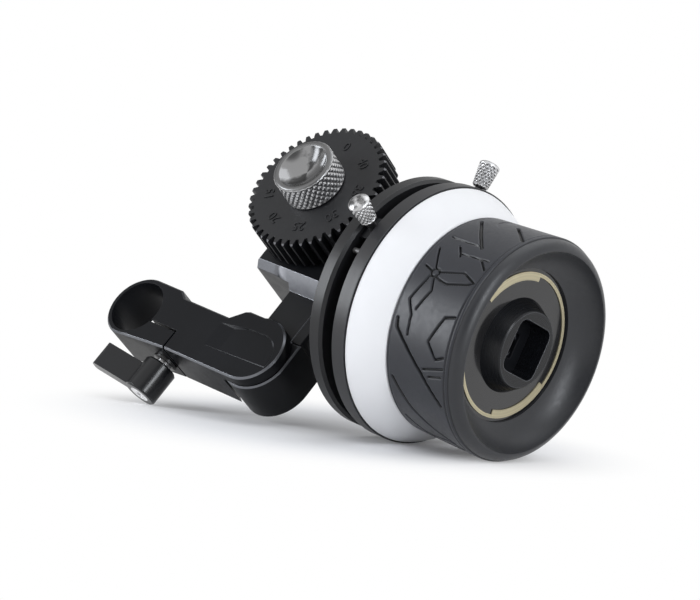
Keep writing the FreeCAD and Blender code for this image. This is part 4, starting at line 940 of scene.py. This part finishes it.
FLOOR_HALF = 4.0
PAPER = (0.96, 0.965, 0.985)
FLOOR_FADE = (0.035, 0.080)  # distance from the middle over which the floor turns white
FLOOR_GLOW = (0.06, 1.0)  # its share of white at those distances
WHITE = (1, 1, 1)
LAMP_COLOUR = (0.92, 0.955, 1.0)
LAMP_TARGET = (0, 0, 0.03)
LAMPS = {  # place, width and height
    "side_panel": ((-0.50, -0.56, 0.15), 0.20, 0.46),
    "key_light": ((0.15, 0.25, 0.90), 0.8, 0.8),
    "glint_light": ((0.64, -0.22, 0.22), 0.14, 0.50),
}
DARK_CARDS = (  # way, cosines of the inner and outer edge, and light left
    ((0.68, -0.72, 0.10), 0.93, 0.75, 0.25),
    ((-0.95, 0.25, 0.35), 0.90, 0.70, 0.45),
)
SENSOR_WIDTH = 36.0  # of the camera, in millimetres


def seen_directly(nodes):
    """1 for rays that show the background: from the camera, in reflections and through glass."""
    rays = nodes.node("ShaderNodeLightPath").outputs
    seen = nodes.math("MAXIMUM", rays["Is Camera Ray"], rays["Is Glossy Ray"])
    return nodes.math("MAXIMUM", seen, rays["Is Transmission Ray"])


def floor_paper():
    """Pale paper that keeps shadows near the middle and glows white further out."""
    material = bpy.data.materials.new("floor_paper")
    material.use_nodes = True
    nodes = Nodes(material.node_tree)
    output = nodes.node("ShaderNodeOutputMaterial")
    mix = nodes.node("ShaderNodeMixShader")
    paper = nodes.node("ShaderNodeBsdfDiffuse")
    paper.inputs["Color"].default_value = (*PAPER, 1)
    glow = nodes.node("ShaderNodeEmission")
    glow.inputs["Color"].default_value = (*WHITE, 1)
    place = nodes.node("ShaderNodeTexCoord").outputs["Object"]
    away = nodes.vector_math("LENGTH", place, output="Value")
    share = nodes.spread(away, *FLOOR_GLOW, *FLOOR_FADE, curve="SMOOTHSTEP")
    nodes.link(nodes.math("MULTIPLY", share, seen_directly(nodes)), mix.inputs["Fac"])
    nodes.link(paper.outputs["BSDF"], mix.inputs[1])
    nodes.link(glow.outputs["Emission"], mix.inputs[2])
    nodes.link(mix.outputs["Shader"], output.inputs["Surface"])
    return material


def make_floor():
    """Floor that runs out to white and keeps the unit's shadow."""
    mesh = bpy.data.meshes.new("floor")
    corners = [(x * FLOOR_HALF, y * FLOOR_HALF, 0) for x, y in ((-1, -1), (1, -1), (1, 1), (-1, 1))]
    mesh.from_pydata(corners, [], [(0, 1, 2, 3)])
    mesh.materials.append(floor_paper())
    floor = new_object("floor", mesh)


def make_sky(strength):
    """Even light from all round, white to the camera, with soft dark cards for reflections."""
    world = bpy.data.worlds.new("studio")
    bpy.context.scene.world = world
    world.use_nodes = True
    nodes = Nodes(world.node_tree)
    output = nodes.node("ShaderNodeOutputWorld")
    background = nodes.node("ShaderNodeBackground")
    background.inputs["Color"].default_value = (*WHITE, 1)
    shown = nodes.spread(seen_directly(nodes), strength, 1.0, 0.0, 1.0)
    way = nodes.node("ShaderNodeTexCoord").outputs["Generated"]
    camera_ray = nodes.node("ShaderNodeLightPath").outputs["Is Camera Ray"]
    for direction, inner, outer, left in DARK_CARDS:
        near = nodes.vector_math("DOT_PRODUCT", way, Vector(direction).normalized(), output="Value")
        fade = nodes.spread(near, 1.0, left, outer, inner, curve="SMOOTHSTEP")
        shown = nodes.math("MULTIPLY", shown, nodes.math("MAXIMUM", fade, camera_ray))
    nodes.link(shown, background.inputs["Strength"])
    nodes.link(background.outputs["Background"], output.inputs["Surface"])


def make_light(name, power):
    """One soft lamp of the studio."""
    place, width, height = LAMPS[name]
    light = bpy.data.lights.new(name, "AREA")
    light.color = LAMP_COLOUR
    light.shape = "RECTANGLE"
    light.size = width
    light.size_y = height
    light.energy = power
    lamp = new_object(name, light)
    lamp.location = place
    lamp.rotation_euler = (Vector(LAMP_TARGET) - Vector(place)).to_track_quat("-Z", "Y").to_euler()


def make_camera():
    sizes = settings().stage
    camera = new_object("camera", bpy.data.cameras.new("camera"))
    camera.data.lens = sizes.lens
    camera.data.sensor_width = SENSOR_WIDTH
    camera.data.sensor_fit = "HORIZONTAL"
    look = Vector((math.cos(sizes.elevation) * math.sin(sizes.azimuth),
                   math.cos(sizes.elevation) * math.cos(sizes.azimuth), -math.sin(sizes.elevation)))
    place = KNOB.origin + Vector(sizes.target) - sizes.distance * look
    turn = look.to_track_quat("-Z", "Y").to_matrix() @ Matrix.Rotation(-sizes.roll, 3, "Z")
    camera.matrix_world = Matrix.Translation(place) @ turn.to_4x4()
    bpy.context.scene.camera = camera


# Operators

class FOCUS_OT_finishes(bpy.types.Operator):
    """Give every rigid piece of the frame its finish"""
    bl_idname = "follow_focus.finishes"
    bl_label = "Finishes"

    def execute(self, context):
        slots, nodes = build_finishes()
        FINISHES.update(slots)
        for part in frame["record"]["subparts"]:
            material = nodes.get(part["node"], slots[part["material_slot"]])
            mesh = frame["nodes"][part["node"]].data
            for index in range(len(mesh.materials)):
                mesh.materials[index] = material
        return {"FINISHED"}


class FOCUS_OT_tread(bpy.types.Operator):
    """Model the rubber grip with its tread"""
    bl_idname = "follow_focus.tread"
    bl_label = "Tread grip"

    def execute(self, context):
        make_tread()
        return {"FINISHED"}


class FOCUS_OT_knurls(bpy.types.Operator):
    """Model the knurled nut of the gear and the two knurled stop screws"""
    bl_idname = "follow_focus.knurls"
    bl_label = "Knurled steel"

    def execute(self, context):
        make_nut()
        make_stop_screws()
        return {"FINISHED"}


class FOCUS_OT_marks(bpy.types.Operator):
    """Raise plain numbers on the gear's face"""
    bl_idname = "follow_focus.marks"
    bl_label = "Gear numbers"

    def execute(self, context):
        make_gear_marks()
        return {"FINISHED"}


class FOCUS_OT_stage(bpy.types.Operator):
    """Set the table, the soft lights and the camera"""
    bl_idname = "follow_focus.stage"
    bl_label = "Stage"

    def execute(self, context):
        sizes = settings().stage
        make_floor()
        make_sky(sizes.sky)
        make_light("side_panel", sizes.side_power)
        make_light("key_light", sizes.key_power)
        make_light("glint_light", sizes.glint_power)
        make_camera()
        context.scene.view_settings.view_transform = "Standard"
        return {"FINISHED"}


OPERATORS = (FOCUS_OT_finishes, FOCUS_OT_tread, FOCUS_OT_knurls, FOCUS_OT_marks, FOCUS_OT_stage)


class FOCUS_PT_panel(bpy.types.Panel):
    """Steps that dress the follow focus unit"""
    bl_idname = "FOCUS_PT_panel"
    bl_label = "Follow Focus Unit"
    bl_space_type = "VIEW_3D"
    bl_region_type = "UI"
    bl_category = "Follow Focus"

    def draw(self, context):
        for operator in OPERATORS:
            self.layout.operator(operator.bl_idname)


CLASSES = (TreadSettings, KnurlSettings, ColourSettings, StageSettings, FollowFocusSettings,
           *OPERATORS, FOCUS_PT_panel)


def register():
    for cls in CLASSES:
        bpy.utils.register_class(cls)
    bpy.types.Scene.follow_focus = PointerProperty(type=FollowFocusSettings)


def unregister():
    del bpy.types.Scene.follow_focus
    for cls in reversed(CLASSES):
        bpy.utils.unregister_class(cls)


def main():
    register()
    for operator in OPERATORS:
        step = operator.bl_idname.split(".")[1]
        getattr(bpy.ops.follow_focus, step)()


if __name__ == "__main__":
    main()
